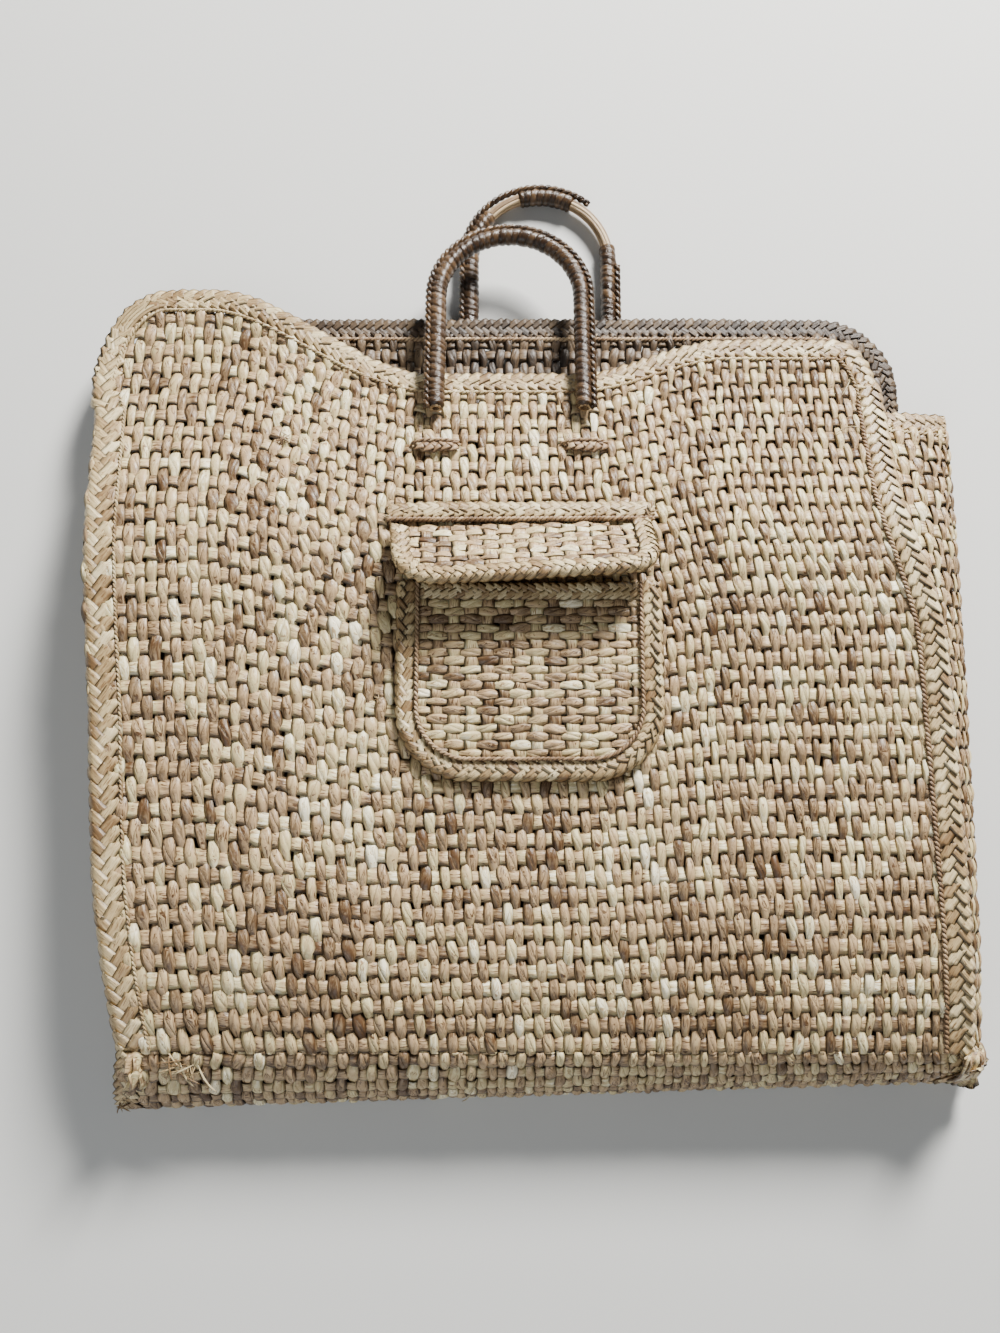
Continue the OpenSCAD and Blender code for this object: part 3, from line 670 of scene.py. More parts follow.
BROWN, GREY_TAN, PINK = (84, 58, 33), (130, 107, 78), (180, 150, 113)
TAN, YELLOW, PALE = (192, 168, 124), (212, 197, 146), (246, 236, 206)
woven = straw_material("woven_straw", [BROWN, GREY_TAN, PINK, TAN, YELLOW, PALE], 0.4)
plaited = straw_material(
    "plaited_straw", [(118, 90, 58), (166, 140, 100), (196, 174, 130), (224, 208, 166)], 0.42)
twisted = straw_material("twisted_cord", [(104, 78, 52), (150, 120, 88), (190, 164, 128)], 0.5)
# Painted shade: the back pieces take darker copies of the straw colours, for the shade they lie in
inner = straw_material("inner_straw", [(44, 32, 20), (78, 61, 43), (104, 84, 62), (138, 116, 88)], 0.5)
shaded_inner_plait = straw_material("shaded_inner_plait", [(40, 28, 17), (66, 51, 35), (86, 68, 48), (110, 90, 64)], 0.5)
wrapped = straw_material("handle_wrapping", [(34, 21, 11), (54, 37, 22), (76, 56, 36), (106, 82, 57)], 0.27)
bundle = straw_material("handle_core", [(120, 94, 64), (166, 138, 102), (200, 174, 134)], 0.5)


# ---- Pieces made of one weave, one plait or one cord ----


def build_weave(label, pair, material, body, slot, node):
    """A weave's two pieces. The plump strands stand for the CAD's node, and the flat ones go with them."""
    warp, weft = pair
    return [warp.build(f"{label}_warp", material, body, slot, [node]),
            weft.build(f"{label}_weft", material, body, slot)]


def build_plait(label, material, body, *values):
    strands = Strands()
    plait(strands, *values)
    strands.build(f"{label}_braid", material, body, "plaited_straw", [f"{label}_plait"])


def build_cord(label, body, path, radius, strand_r, seed):
    strands = Strands()
    rope(strands, path, radius, strand_r, CORD_TURN, seed)
    strands.build(f"{label}_twist", twisted, body, "twisted_cord", [f"{label}_cord"])


# ---- Front panel ----

# How far a mat's strands reach in under its plaits
TUCK = 4.0
# The spread moves the columns to the right, most in the middle, so they stand wider apart on the left
FRONT_COLUMNS, FRONT_ROWS, FRONT_SPREAD = 92, 40, 0.045


def front_bulge(x, y):
    """The filled look of the empty bag: slow hollows and rises in the front panel, in millimetres."""
    u = (x - MOUTH_LEFT) / MOUTH_W
    v = y / FRONT_RIM_Y
    soft = np.sin(math.pi * np.clip(u, 0, 1)) * np.sin(math.pi * np.clip(v, 0, 1)) ** 0.7
    slow = 1.8 * np.sin(5.1 * u + 2.2 * v + 0.4) + 1.5 * np.sin(8.3 * u - 6.1 * v)
    hollow = -3.0 * np.exp(-((u - 0.42) / 0.09) ** 2 - ((v - 0.24) / 0.13) ** 2)
    return soft * (slow + hollow)


def front_point(x, y, out=0.0):
    return np.stack([x, y, front_z(y) + front_bulge(x, y) + out], -1)


def front_surface(u, v):
    low, high = -1.0, FRONT_RIM_Y + 4
    y = mix(low, high, v)
    for _ in range(3):
        x = mix(left_x(y), right_x(y), u)
        y = mix(low, rim_line(x), v)
    return front_point(x, y)


side_t = np.linspace(0, 1, 40)
quarter = 1 - np.cos(side_t * math.pi / 2)
right_y = side_t * front_top(MOUTH_RIGHT)
left_y = side_t[::-1] * front_top(MOUTH_LEFT)
right_side = np.stack([right_x(right_y), right_y], -1)
right_ear_x = MOUTH_RIGHT - RIGHT_EAR_W * quarter
rim_x = mix(MOUTH_RIGHT - RIGHT_EAR_W, MOUTH_LEFT + LEFT_EAR_W, np.linspace(0, 1, 90)[1:])
left_ear_x = MOUTH_LEFT + LEFT_EAR_W * quarter[::-1][1:]
top_x = np.concatenate([right_ear_x[1:], rim_x, left_ear_x])
front_rim = np.stack([top_x, front_top(top_x)], -1)
left_side = np.stack([left_x(left_y), left_y], -1)[1:]
front_outline = np.concatenate([
    right_side, front_rim, left_side, [[CREASE_LEFT, -60]], [[CREASE_RIGHT, -60]]])


def inset_line(line, d):
    """An open line moved to its left by d, one number or one for each point."""
    forward = ahead_of(line)
    return line + np.stack([-forward[:, 1] * d, forward[:, 0] * d], -1)


def panel_up(height, y):
    """The up direction of a panel whose height follows y."""
    slope = (height(y + 1) - height(y - 1)) / 2
    return unit(np.stack([np.zeros_like(y), -slope, np.ones_like(y)], -1))


def front_path(line, inset, out=0.0):
    line = inset_line(line, inset)
    points = front_point(line[:, 0], line[:, 1], out)
    return Path(points, panel_up(front_z, line[:, 1]))


side_over_ear = np.concatenate([front_rim[-9:-1], left_side])
right_over_ear = np.concatenate([right_side, front_rim[1:7]])
front_weave = weave(front_surface, FRONT_COLUMNS, FRONT_ROWS, keep_inside(front_outline, PLAIT_W - TUCK), 11,
                    spread=FRONT_SPREAD)
build_weave("front", front_weave, woven, "front", "woven_straw", "front_mat")

rim_strands = Strands()
plait(rim_strands, front_path(front_rim, PLAIT_W / 2), PLAIT_W, 6.8, 0.4, -1.3, 21)
rope(rim_strands, front_path(front_rim, PLAIT_W + 0.5, 0.2), 0.55, 0.75, CORD_TURN, 22)
rim_strands.build("front_rim_braid", plaited, "front", "plaited_straw", ["front_rim_plait"])
side_strands = Strands()
# The left plait is wide and leans in over the panel halfway up
LEAN_Y = [0, 100, 190, 330, 410, 470]
LEAN_IN = [6.5, 8.0, 13.5, 14.5, 11.0, 8.0]
EAR_POINTS, EAR_INSET = 8, 8.0
left_inset = np.interp(side_over_ear[:, 1], LEAN_Y, LEAN_IN)
left_inset[:EAR_POINTS + 1] = EAR_INSET
left_path = front_path(side_over_ear, left_inset)
plait(side_strands, left_path, 21, 8.2, 0.9, -1.4, 23, rolled_section(3.0, 5.0, 1.7))
beside_left = front_path(left_side, left_inset[EAR_POINTS:] + 11.0)
rope(side_strands, beside_left, 0.5, 0.7, CORD_TURN, 24)
side_strands.build("front_left_braid", plaited, "front", "plaited_straw", ["front_left_plait"])
build_plait("front_right", plaited, "front", front_path(right_over_ear, 5.5),
            PLAIT_W + 4, 7.2, 1.6, -0.8, 25, rolled_section(3.0, 4.2, 1.5))
beside_right = front_path(right_side, PLAIT_W + 1.5, 0.4)
build_cord("front_right", "front", beside_right, 0.8, 0.95, 26)

# ---- Base ----

BASE_ROWS = 6
# The base's strands stop this far short of its ends, and this high above the floor
BASE_END, BASE_FOOT = 9, 0.8
BASE_START = math.radians(30)
BASE_TOP = (BASE_RISE - CREASE_SAG) / math.cos(BASE_START)


def base_reach(a):
    """How far out the base is at angle a of its round, as a share of its run."""
    return (np.sin(a) - math.sin(BASE_START)) / (1 - math.sin(BASE_START))


def even_angles(run):
    """Angles that part the base's round into equal lengths, as a table over 0 to 1."""
    a = np.linspace(BASE_START, math.pi / 2, 200)
    gaps = np.hypot(np.diff(run * base_reach(a)), np.diff(BASE_TOP * np.cos(a)))
    return np.concatenate([[0], np.cumsum(gaps)]) / gaps.sum(), a


def base_surface(u, v):
    """v runs from the floor up to the crease, so that its rows join the front panel's."""
    left_angle = np.interp(1 - v, *even_angles(BASE_RUN_LEFT))
    right_angle = np.interp(1 - v, *even_angles(BASE_RUN_RIGHT))
    a = mix(left_angle, right_angle, u)
    out = base_reach(a)
    x = mix(mix(CREASE_LEFT, CREASE_RIGHT, u), mix(FLOOR_LEFT, FLOOR_RIGHT, u), out)
    run = mix(BASE_RUN_LEFT, BASE_RUN_RIGHT, u)
    return np.stack([x, -0.6 - (run - 1.3) * out, BASE_TOP * np.cos(a)], -1)


def keep_base(p):
    between = (p[..., 0] > FLOOR_LEFT + BASE_END) & (p[..., 0] < FLOOR_RIGHT - BASE_END)
    return between & (p[..., 2] > BASE_FOOT)


base_weave = weave(base_surface, FRONT_COLUMNS, BASE_ROWS, keep_base, 31, spread=FRONT_SPREAD)
build_weave("base", base_weave, woven, "shell", "inner_straw", "base_mat")


def base_side_path(u):
    v = np.linspace(0.0, 1.0, 30)
    p, up, _, _ = surface_frame(base_surface, np.full_like(v, u), v)
    return Path(p, up)


HALF_PLAIT = 0.5 * PLAIT_W / BASE_W
for word, u, pitch, seed in (("left", HALF_PLAIT, 7.0, 33), ("right", 1 - HALF_PLAIT, 6.6, 34)):
    build_plait(f"base_{word}", plaited, "shell", base_side_path(u),
                14, pitch, 0.3, -1.2, seed)

# ---- Back panel ----

BACK_COLUMNS, BACK_ROWS = 96, 46
BACK_PITCH = 5.2


def back_surface(u, v):
    # The sides' places are read at the right side's rows, so that the columns stay even
    row_y = mix(-BASE_RUN_RIGHT, RIM_Y, v)
    x = mix(back_left_x(row_y), back_right_x(row_y), u)
    low = -mix(BASE_RUN_LEFT, BASE_RUN_RIGHT, u) + 3
    y = mix(low, RIM_Y, v)
    return np.stack([x, y, back_z(y) + 3.6], -1)


arc = np.linspace(0, math.pi / 2, 24)
near, far = BACK_EAR * (1 - np.cos(arc)), BACK_EAR * (1 - np.sin(arc))
back_right_ear = np.stack([BACK_RIGHT - near, RIM_Y - far], -1)
back_left_ear = np.stack([BACK_LEFT + far, RIM_Y - near], -1)
steps = np.linspace(0, 1, 60)[:, None]
back_right_side = mix(np.array([FLOOR_RIGHT, 0.0]), back_right_ear[0], steps[:-1])
back_left_side = mix(back_left_ear[-1], np.array([FLOOR_LEFT, 0.0]), steps[1:])
back_top = mix(back_right_ear[-1], back_left_ear[0], steps[1:-1])
back_rim = np.concatenate([back_right_ear, back_top, back_left_ear])
back_outline = np.concatenate([
    back_right_side, back_rim, back_left_side, [[FLOOR_LEFT, -90]], [[FLOOR_RIGHT, -90]]])


def back_path(line, inset, out=0.0):
    line = inset_line(line, inset)
    points = np.stack([line[:, 0], line[:, 1], back_z(line[:, 1]) + MAT_T + out], -1)
    return Path(points, panel_up(back_z, line[:, 1]))


back_weave = weave(back_surface, BACK_COLUMNS, BACK_ROWS, keep_inside(back_outline, PLAIT_W - TUCK), 41,
                   per_row=4)
build_weave("back", back_weave, inner, "shell", "inner_straw", "back_mat")
build_plait("back_rim", shaded_inner_plait, "shell", back_path(back_rim, PLAIT_W / 2),
            PLAIT_W, BACK_PITCH, 0.4, -2.4, 43)
beside_rim = back_path(back_rim, PLAIT_W + 1.5, 0.5)
build_cord("back_rim", "shell", beside_rim, 0.8, 0.95, 44)
low_left = np.array([[FLOOR_LEFT, -34.0]])
low_right = np.array([[FLOOR_RIGHT, -20.0]])
left_seam = np.concatenate([back_rim[-6:-1], back_left_side, low_left])
right_seam = np.concatenate([low_right, back_right_side, back_rim[:6]])
for word, seam, seed in (("left", left_seam, 45), ("right", right_seam, 46)):
    build_plait(f"back_{word}", shaded_inner_plait, "shell",
                back_path(seam, PLAIT_W / 2), PLAIT_W, BACK_PITCH, 0.4, -2.4, seed)

# ---- Side gussets ----


def gusset_surface(side):
    """u runs from the front panel to the back panel, round the fold, and v from the base to the mouth."""
    low_y = -min(BASE_RUN_LEFT, BASE_RUN_RIGHT) + 4

    def surface(u, v):
        y = mix(low_y, GUSSET_Y, v)
        up_share = np.clip(y / GUSSET_Y, 0, 1)
        inner = PLAIT_W / 2
        if side > 0:
            run = BASE_RUN_RIGHT
            front_x, back_x = right_x(y) - inner, back_right_x(y) - inner
            fold_x = back_right_x(y) + mix(GUSSET_OUT_BASE, GUSSET_OUT, up_share) - 1.5
        else:
            run = BASE_RUN_LEFT
            front_x, back_x = left_x(y) + inner, back_left_x(y) + inner
            fold_x = left_x(y) + mix(GUSSET_IN_BASE, GUSSET_IN, up_share) + inner - 1.5
        below = (BASE_RISE - 4) * np.sqrt(np.clip(1 - (y / (run - 4)) ** 2, 0, 1))
        high = np.where(y >= 0, front_z(y) - MAT_T, below) - 1.5
        low = back_z(y) + 5.5
        bulge = (fold_x - (front_x + back_x) / 2) * np.sin(math.pi * u)
        return np.stack([mix(front_x, back_x, u) + bulge, y, mix(high, low, u)], -1)
    return surface


GUSSET_ROWS, GUSSET_STRANDS = 38, dict(BEAD, weft_half=0.5)


def keep_gusset(p):
    return p[..., 1] < GUSSET_Y - PLAIT_W + TUCK


def gusset(side, columns, seed, label):
    base = gusset_surface(side)

    def surface(u, v):
        return base(u if side > 0 else 1 - u, v)

    node = f"{label}_gusset"
    slot = "woven_straw" if side > 0 else "inner_straw"
    pair = weave(surface, columns, GUSSET_ROWS, keep_gusset, seed, GUSSET_STRANDS, per_row=4, lift=0.0)
    for piece in build_weave(node, pair, woven, None, slot, node):
        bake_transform(piece)
    u = np.linspace(0.02, 0.98, 60)
    v_rim = 1 - PLAIT_W / 2 / GUSSET_Y
    p, up, _, _ = surface_frame(surface, u, np.full_like(u, v_rim))
    made, path = Strands(), Path(p, up)
    plait(made, path, PLAIT_W, 6.6, 1.2, -1.2, seed + 1)
    rope(made, path, 0.6, 0.8, CORD_TURN, seed + 2, a=PLAIT_W / 2 + 1.2, h=1.0)
    piece = made.build(f"{node}_braid", plaited, None, "plaited_straw", [f"{node}_plait"])
    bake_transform(piece)


gusset(1, 22, 51, "right")
gusset(-1, 16, 61, "left")

# ---- Pocket ----

POCKET_STRANDS = dict(BEAD, rise=0.9, dome=0.85, weft_wave=0.6)


def pocket_z(x, y):
    """The pocket's skin: low at its sewn edge, fuller in the middle and at its mouth."""
    across = np.clip(np.abs(x - POCKET_X) / (POCKET_W / 2), 0, 1)
    down = np.clip((POCKET_MOUTH_UP - y) / POCKET_H, 0, 1)
    return BASE_RISE + 7.4 * (1 - across ** 3.2) * (1 - down ** 4) + 1.2 + 0.4 * np.sin(x * 0.05)


def pocket_surface(u, v):
    """v runs along X, so that the plump strands lie level."""
    x = POCKET_X + POCKET_W * (v - 0.5)
    y = POCKET_MOUTH_UP - POCKET_H * u
    y = y - 1.5 * np.sin(v * math.pi)
    return np.stack([x, y, pocket_z(x, y) + 0.5], -1)


def rounded_edge(left, right, top, bottom, left_r, right_r, n, sides, middle):
    """An open edge from its top left end, down, round two rounded corners and up to its top right end.

    n, sides and middle are the numbers of points in each corner, each side and the bottom.
    """
    a = np.linspace(math.pi, 1.5 * math.pi, n)
    b = np.linspace(1.5 * math.pi, 2 * math.pi, n)
    low_left = np.stack([left + left_r * (1 + np.cos(a)), bottom + left_r * (1 + np.sin(a))], -1)
    low_right = np.stack([right - right_r * (1 - np.cos(b)), bottom + right_r * (1 + np.sin(b))], -1)
    along_side = np.linspace(0, 1, sides)[:, None]
    along_bottom = np.linspace(0, 1, middle)[1:-1, None]
    return np.concatenate([
        mix(np.array([left, top]), low_left[0], along_side)[:-1], low_left,
        mix(low_left[-1], low_right[0], along_bottom), low_right,
        mix(low_right[-1], np.array([right, top]), along_side)[1:]])


pocket_edge = rounded_edge(POCKET_X - POCKET_W / 2, POCKET_X + POCKET_W / 2, POCKET_MOUTH_UP,
                           POCKET_MOUTH_UP - POCKET_H, POCKET_R, POCKET_R, 16, 12, 8)
pocket_weave = weave(pocket_surface, 24, 16, keep_inside(pocket_edge, 8.0), 71, POCKET_STRANDS)
build_weave("pocket", pocket_weave, woven, "front", "woven_straw", "pocket_mat")


def pocket_path(inset, z):
    line = inset_line(pocket_edge, inset)
    points = np.stack([line[:, 0], line[:, 1], np.broadcast_to(z, (len(line),))], -1)
    return Path(points, [0, 0, 1])


build_plait("pocket_edge", plaited, "front", pocket_path(5.0, BASE_RISE + 5.0),
            13.5, 6.4, 0.6, -0.6, 73, rolled_section(1.5, 3.0, 1.5))
beside_edge = pocket_path(12.2, BASE_RISE + 6.6)
build_cord("pocket_edge", "front", beside_edge, 0.6, 0.8, 74)
mouth_x = np.linspace(POCKET_X - POCKET_W / 2 + 9, POCKET_X + POCKET_W / 2 - 9, 50)
mouth_y = np.full_like(mouth_x, POCKET_MOUTH_UP - 4.8) - 1.5 * np.sin(np.linspace(0, math.pi, 50))
mouth_points = np.stack([mouth_x, mouth_y, pocket_z(mouth_x, mouth_y) + 0.4], -1)
build_plait("pocket_mouth", plaited, "front", Path(mouth_points, [0, 0, 1]),
            9.5, 4.8, 0.8, -0.8, 75)

# ---- Flap ----

FLAP_HINGE_Z = front_z(FLAP_Y) + 3.6


def flap_point(x, t, out):
    """x across the flap and t down it, in millimetres. Its right side stands up more than its left."""
    share = x / FLAP_W + 0.5
    angle = np.radians(mix(36, 43, share) + 4 * (t / FLAP_L - 1))
    y = FLAP_Y + 4.5 * (share - 0.55) - t * np.cos(angle) + out * np.sin(angle)
    z = FLAP_HINGE_Z + t * np.sin(angle) + out * np.cos(angle)
    lean = (6 * np.clip(1 - share, 0, 1) ** 3 + 2.5 * np.clip(share, 0, 1) ** 3) * t / FLAP_L
    return np.stack([FLAP_X + x + lean, y, z], -1)


def flap_surface(u, v):
    return flap_point(FLAP_W * (v - 0.5), FLAP_L * u, -1.0)


def flap_line(inset):
    """The flap's edge in its own plane. Its left corner is rounder than its right one."""
    half = FLAP_W / 2
    line = rounded_edge(-half, half, -1.0, -FLAP_L, 1.35 * FLAP_R, FLAP_R, 12, 10, 30)
    return inset_line(line, inset)


flap_edge = flap_line(0.0)


def keep_flap(p):
    across = p[..., 0] - FLAP_X
    down = np.hypot(p[..., 1] - FLAP_Y, p[..., 2] - FLAP_HINGE_Z)
    closed = np.concatenate([flap_edge, [[FLAP_W / 2, 20]], [[-FLAP_W / 2, 20]]])
    return inside_outline(np.stack([across, -down], -1), closed, 6.5) & (down > 1.5)


FLAP_STRANDS = dict(POCKET_STRANDS, half=0.68, weft_half=0.5)
flap_weave = weave(flap_surface, 11, 17, keep_flap, 81, FLAP_STRANDS)
build_weave("flap", flap_weave, woven, "flap", "woven_straw", "flap_mat")


def flap_path(inset):
    line = flap_line(inset)
    points = flap_point(line[:, 0], -line[:, 1], 0.0)
    up = unit(flap_point(line[:, 0], -line[:, 1], 1.0) - points)
    return Path(points, up)


build_plait("flap_edge", plaited, "flap", flap_path(4.4),
            14, 6.2, 0.6, -0.8, 83, rolled_section(0.5, 2.5, 2.0))
top_x = np.linspace(FLAP_X - FLAP_W / 2 - 1, FLAP_X + FLAP_W / 2 + 1, 40)


def flap_top_path(y, out):
    points = front_point(top_x, np.full_like(top_x, y), out)
    return Path(points, [0, 0.2, 1])


build_plait("flap_top", plaited, "front", flap_top_path(FLAP_Y + 7.5, 2.4),
            10, 6.0, 0.8, -1.0, 85)
build_cord("flap_top", "front", flap_top_path(FLAP_Y + 1.6, 3.2), 0.85, 1.0, 86)

# ---- Handles ----


def handle_path(offset=0.0):
    """A handle's loop in its own plane, from its left foot round its arch to its right foot."""
    r = ARCH_R + offset
    leg = np.linspace(0, 1, 40) * HANDLE_LEG
    a = np.linspace(math.pi, 0, 80)[1:-1]
    x = np.concatenate([np.full(40, -r), r * np.cos(a), np.full(40, r)])
    y = np.concatenate([leg, HANDLE_LEG + r * np.sin(a), leg[::-1]])
    return np.stack([x, y, np.zeros_like(x)], -1)


def place_handle(points, x, y, z, fall):
    c, s = math.cos(math.radians(fall)), math.sin(math.radians(fall))
    return np.stack([points[:, 0] + x, points[:, 1] * c + y, z - points[:, 1] * s], -1)


# How far the winding moves on along the bar for each turn, how high it swells, and the points round the bar
WRAP_TURN, WRAP_SWELL, WRAP_SIDES = 4.7, 1.15, 28


def wrapped_bar(out, path, radius, start, end, seed):
    """A bar wound with straw: a tube whose skin swells between the turns of the winding."""
    rng = np.random.default_rng(seed)
    s = np.arange(start, end, 0.6)
    point, _, side, up = path.at(s)
    ring = np.linspace(0, 2 * math.pi, WRAP_SIDES, endpoint=False)
    turn = s[:, None] / WRAP_TURN - ring[None] / (2 * math.pi) + 0.28 * np.sin(ring + 0.6)[None]
    knots = max(4, int((end - start) / 9))
    turn = turn + np.interp(s, np.linspace(start, end, knots), rng.normal(0, 0.22, knots))[:, None]
    f = turn - np.floor(turn)
    swell = np.sqrt(np.clip(1 - (2 * f - 1) ** 2, 0, 1)) ** 0.8
    fat = 1 + 0.12 * np.sin(np.floor(turn) * 2.3)
    r = radius - WRAP_SWELL + WRAP_SWELL * swell * fat
    ends = np.minimum(np.minimum(s - start, end - s) / 3.0, 1)
    r = r * np.sqrt(np.clip(1 - (1 - ends) ** 2, 0.04, 1))[:, None]
    rings = offset(point, side, up, r * np.cos(ring), r * np.sin(ring))
    which = np.floor(turn).astype(int)
    which -= which.min()
    tone = (0.25 + 0.6 * rng.random(which.max() + 1))[which]
    grain_and_edge_shade = np.empty(r.shape + (3,))
    grain_and_edge_shade[..., 0] = ring[None] * radius + s[:, None] * 0.2
    # Painted shade: across runs -1 to 1 over each turn, so the material darkens the grooves between the turns
    grain_and_edge_shade[..., 1] = 2 * f - 1
    grain_and_edge_shade[..., 2] = which * 0.61 + seed
    out.add_skin(rings, tone, grain_and_edge_shade)


CORE_STRANDS, CORE_R = 9, 3.1


def handle(label, x, y, z, fall, seed, stretches, ridges):
    """A handle on its own body. stretches and ridges are the shares of the loop that have them."""
    slope = math.radians(fall)
    loop = Path(place_handle(handle_path(), x, y, z, fall), [0, math.sin(slope), math.cos(slope)])
    core = Strands()
    s = np.arange(0, loop.length, 1.5)
    point, forward, side, up = loop.at(s)
    for k in range(CORE_STRANDS):
        ring = 2 * math.pi * k / CORE_STRANDS + s * 0.012
        centre = offset(point, side, up, CORE_R * np.cos(ring), CORE_R * np.sin(ring))
        out_way = unit(centre - point)
        rings, across = ribbon_rings(centre, forward, out_way, 1.35, 0.7, 0.8)
        core.add(rings, (k * 0.37) % 1, s, across, seed + k)
    core.build(f"{label}_bundle", bundle, label, "handle_core", [f"{label}_core"])
    wrap = Strands()
    for a, b in stretches:
        wrapped_bar(wrap, loop, HANDLE_R, a * loop.length, b * loop.length, seed + 20)
    wrap.build(f"{label}_winding", wrapped, label, "handle_wrapping", [f"{label}_wrap"])
    ridge = Strands()
    outer = place_handle(handle_path(HANDLE_R + 0.2), x, y, z, fall)
    outer[:, 2] += 2.2
    for a, b in ridges:
        part = outer[int(a * len(outer)):int(b * len(outer))]
        rope(ridge, Path(part, loop.up[0]), 1.05, 1.45, 2 * WRAP_TURN, seed + 30)
    ridge.build(f"{label}_seam", wrapped, label, "handle_wrapping", [f"{label}_ridge"])


def tie(label, body, x, y, z, up, seed):
    """A short plaited bar with a strand looped over it that goes into the panel at each end."""
    t = np.linspace(-1, 1, 24)
    end = np.abs(t)
    bar = np.stack([x + t * (TIE_L / 2 - 2), y - 1.2 + 1.6 * t ** 2, z + 1.6 - 2.2 * end ** 6], -1)
    strands = Strands()
    plait(strands, Path(bar, up), 7.5, 5.2, 1.0, -0.6, seed, strands=3, half=2.2, dome=0.4)
    loop = np.stack([x + t * (TIE_L / 2 + 1), y + 2.8 - 1.8 * end ** 3, z + 1.8 - 4.0 * end ** 6], -1)
    rope(strands, Path(loop, up), 0.6, 0.8, 7.0, seed + 5)
    strands.build(f"{label}_twist", twisted, body, "twisted_cord", [label])


FRONT_FOOT_Z = float(front_z(FRONT_FOOT_Y)) + HANDLE_R + HANDLE_GAP
# The back handle's wrapping has worn away in two places
handle("front_handle", FRONT_HANDLE_X, FRONT_FOOT_Y, FRONT_FOOT_Z, FRONT_HANDLE_FALL, 91, [(0.0, 1.0)],
       [(0.0, 1.0)])
handle("back_handle", BACK_HANDLE_X, BACK_FOOT_Y, HANDLE_R, 0.0, 131,
       [(0.0, 0.385), (0.452, 0.578), (0.70, 1.0)], [(0.0, 0.62), (0.76, 1.0)])
for side, word in ((-1, "left"), (1, "right")):
    x, y = FRONT_HANDLE_X + side * ARCH_R, FRONT_FOOT_Y - TIE_DROP
    tie(f"front_tie_{word}", "front", x, y, float(front_z(y)) + 0.6, [0, 0.3, 1], 171 + side)
    x, y = BACK_HANDLE_X + side * ARCH_R, BACK_FOOT_Y - TIE_DROP - HANDLE_R
    tie(f"back_tie_{word}", "shell", x, y, float(back_z(y)) - 0.8, [0, 0, 1], 181 + side)

# ---- Loose ends and small damage ----


def front_skin(x, y, out):
    """A point on the woven front panel, out millimetres above its strands' middle."""
    point = front_point(np.array([x]), np.array([y]), out)
    return point[0]


def base_skin(x, down, out):
    """A point of the base, a share down its round, out millimetres outside it."""
    u = (x - CREASE_LEFT) / BASE_W
    p, up, _, _ = surface_frame(base_surface, np.array([u]), np.array([1.0 - down]))
    return (p + up * out)[0]


def tuft(out, centre, size, count, seed, width=1.0, lift=1.4):
    """A small tangle of straw ends that lie every way round a point."""
    rng = np.random.default_rng(seed)
    for k in range(count):
        turn = rng.uniform(0, math.pi)
        way = size * rng.uniform(0.35, 0.6) * np.array([math.cos(turn), math.sin(turn), 0.0])
        middle = centre + np.append(rng.normal(0, 0.14 * size, 2), 0)
        top = np.array([0, 0, lift * rng.uniform(0.4, 1.0)])
        points = [middle - way, middle - 0.4 * way + top, middle + 0.4 * way + top, middle + way]
        straw(out, points, width * rng.uniform(0.6, 1.3), 0.25, seed + k, rng.uniform(0.0, 0.6))


def undone(out, path, start, end, seed):
    """A strand that runs straight along a path where the plait has come undone."""
    s = np.linspace(start, end, 18)
    point, forward, _, up = path.at(s)
    rise = np.sin(np.linspace(0, math.pi, 18)) ** 0.4
    rings, across = ribbon_rings(point + up * (1.5 * rise - 0.9)[:, None], forward, up, 1.2, 0.2, 0.3)
    out.add(rings, 0.35 + 0.1 * (seed % 5), s, across, seed)


loose = Strands()
for k, inset in enumerate((1.6, 3.7, 5.8, 7.9, 10.0)):
    rim = front_path(front_rim, inset)
    undone(loose, rim, rim.length - 70 - 2.5 * k, rim.length - 34 + 1.5 * k, 201 + k)
raised = [front_skin(224, 392, 2.0), front_skin(227, 397, 3.6), front_skin(230, 402.5, 2.4)]
straw(loose, raised, 0.7, 0.25, 211, 0.9)
arched = [front_skin(215, 363, 1.8), front_skin(221, 367, 3.4), front_skin(227, 369, 3.2),
          front_skin(233, 367, 2.0)]
straw(loose, arched, 0.7, 0.25, 213, 0.6)
tuft(loose, front_skin(-56.0, 306.0, 3.0), 9, 6, 215)
tuft(loose, front_skin(98.5, 309.0, 3.0), 7, 4, 225)
tuft(loose, front_skin(-60.0, 196.0, 1.6), 6, 3, 231, 0.7)
loose.build("front_loose_straw", plaited, "front", "woven_straw")
knots = Strands()
tuft(knots, front_skin(-123.5, 360.0, 2.0), 8, 8, 241, 0.8)
knots.build("front_knots", twisted, "front", "twisted_cord")
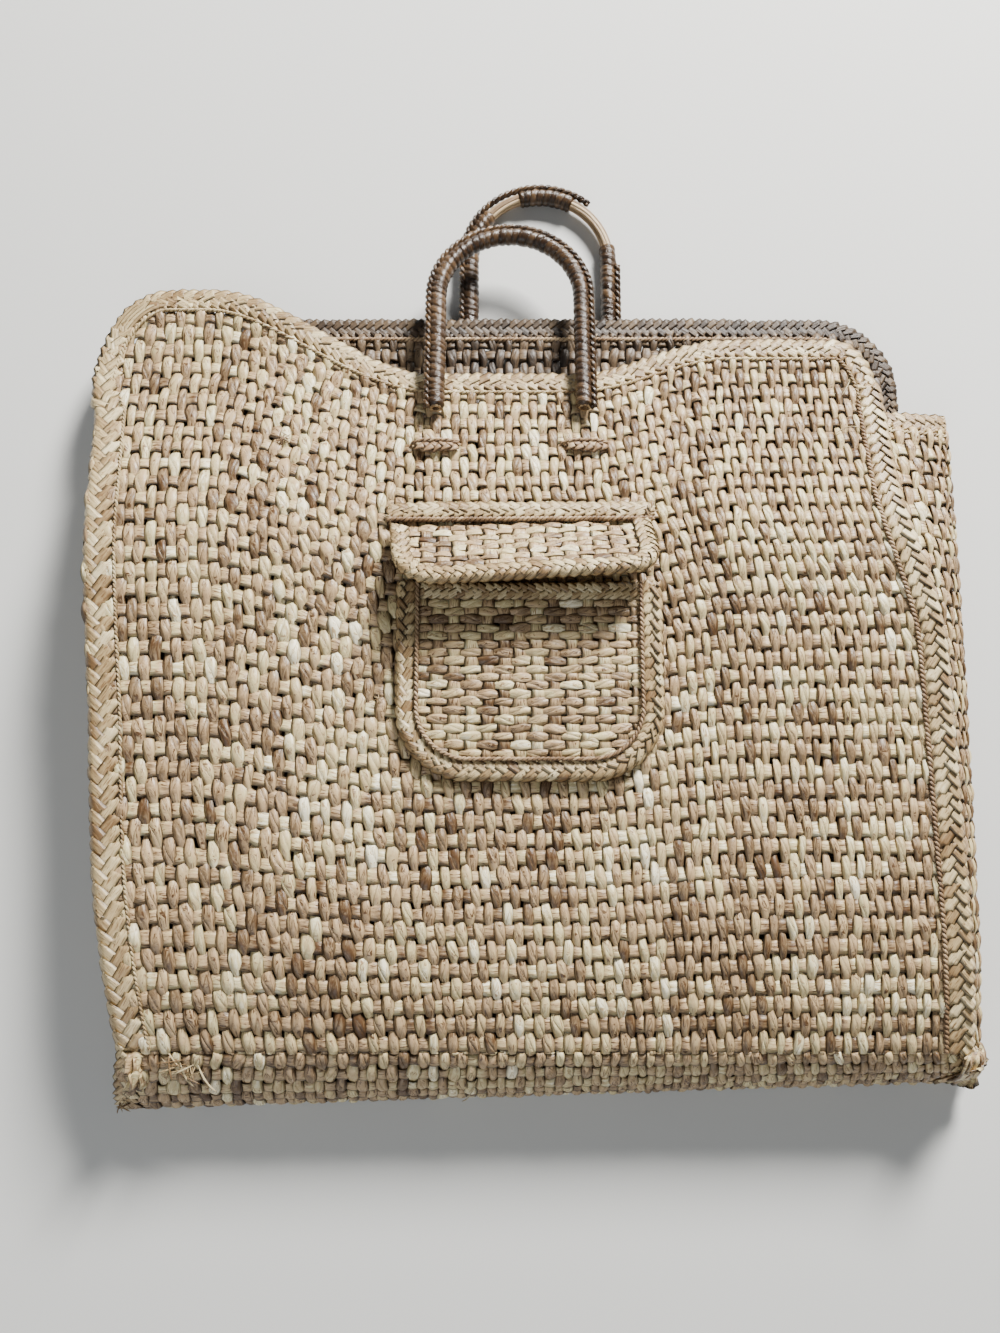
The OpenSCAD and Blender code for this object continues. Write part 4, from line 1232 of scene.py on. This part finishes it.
# Long frayed straws: where each starts across the base, its start and end down the round, its lean
FRAYS = [(-178.0, 0.22, 0.08, 18.0), (-168.0, 0.08, 0.32, 9.0), (-158.0, 0.10, 0.40, 12.0),
         (-3.0, 0.30, 0.72, -8.0)]
loose = Strands()
tuft(loose, np.array([-124.0, 451.0, back_z(451.0) + MAT_T + 3.0]), 9, 6, 251)
tuft(loose, base_skin(-172.0, 0.09, 1.0), 14, 12, 261, 0.8, 1.6)
tuft(loose, base_skin(-161.0, 0.18, 1.0), 13, 10, 281, 0.8, 1.6)
tuft(loose, base_skin(-199.0, 0.62, 1.2), 9, 8, 301, 0.7, 1.6)
for k, (x, start, end, lean) in enumerate(FRAYS):
    shares = np.linspace(start, end, 4)
    outs = (1.0, 3.4, 3.8, 2.6)
    points = [base_skin(x + lean * i / 3, shares[i], outs[i]) for i in range(4)]
    straw(loose, points, 1.2, 0.25, 321 + k, 0.85)
loose.build("base_loose_straw", plaited, "shell", "woven_straw")

# ---- Floor, light and camera ----


def plain_material(name, colour, roughness):
    material = bpy.data.materials.new(name)
    material.use_nodes = True
    shader = material.node_tree.nodes["Principled BSDF"]
    shader.inputs["Base Color"].default_value = colour
    shader.inputs["Roughness"].default_value = roughness
    return material


bpy.ops.mesh.primitive_plane_add(size=8, location=(0, 0, -0.0005))
floor = bpy.context.object
floor.name = "floor"
floor.data.materials.append(plain_material("pale_floor", (0.62, 0.62, 0.60, 1), 0.9))


def area_light(name, place, target, size, power, colour):
    data = bpy.data.lights.new(name, "AREA")
    data.shape = "SQUARE"
    data.size = size
    data.energy = power
    data.color = colour
    light = bpy.data.objects.new(name, data)
    light.location = place
    way = np.array(target) - np.array(place)
    light.rotation_euler = Vector(way).to_track_quat("-Z", "Y").to_euler()
    bpy.context.scene.collection.objects.link(light)


area_light("window", (0.9, 1.75, 1.2), (0, 0, 0.03), 0.6, 225, (1.0, 0.985, 0.955))
area_light("room", (-0.7, -1.5, 1.4), (0, -0.1, 0.03), 1.6, 20, (0.94, 0.97, 1.0))
world = bpy.data.worlds.new("studio")
world.use_nodes = True
world.node_tree.nodes["Background"].inputs["Color"].default_value = (0.80, 0.83, 0.86, 1)
world.node_tree.nodes["Background"].inputs["Strength"].default_value = 0.16
bpy.context.scene.world = world

CAMERA_TILT = 9.0
camera_data = bpy.data.cameras.new("camera")
camera_data.sensor_fit = "HORIZONTAL"
camera_data.sensor_width = 36
camera_data.lens = 37.8
camera = bpy.data.objects.new("camera", camera_data)
camera.location = (-0.0125, -0.137, 0.660)
camera.rotation_euler = (math.radians(CAMERA_TILT), 0, 0)
bpy.context.scene.collection.objects.link(camera)
bpy.context.scene.camera = camera
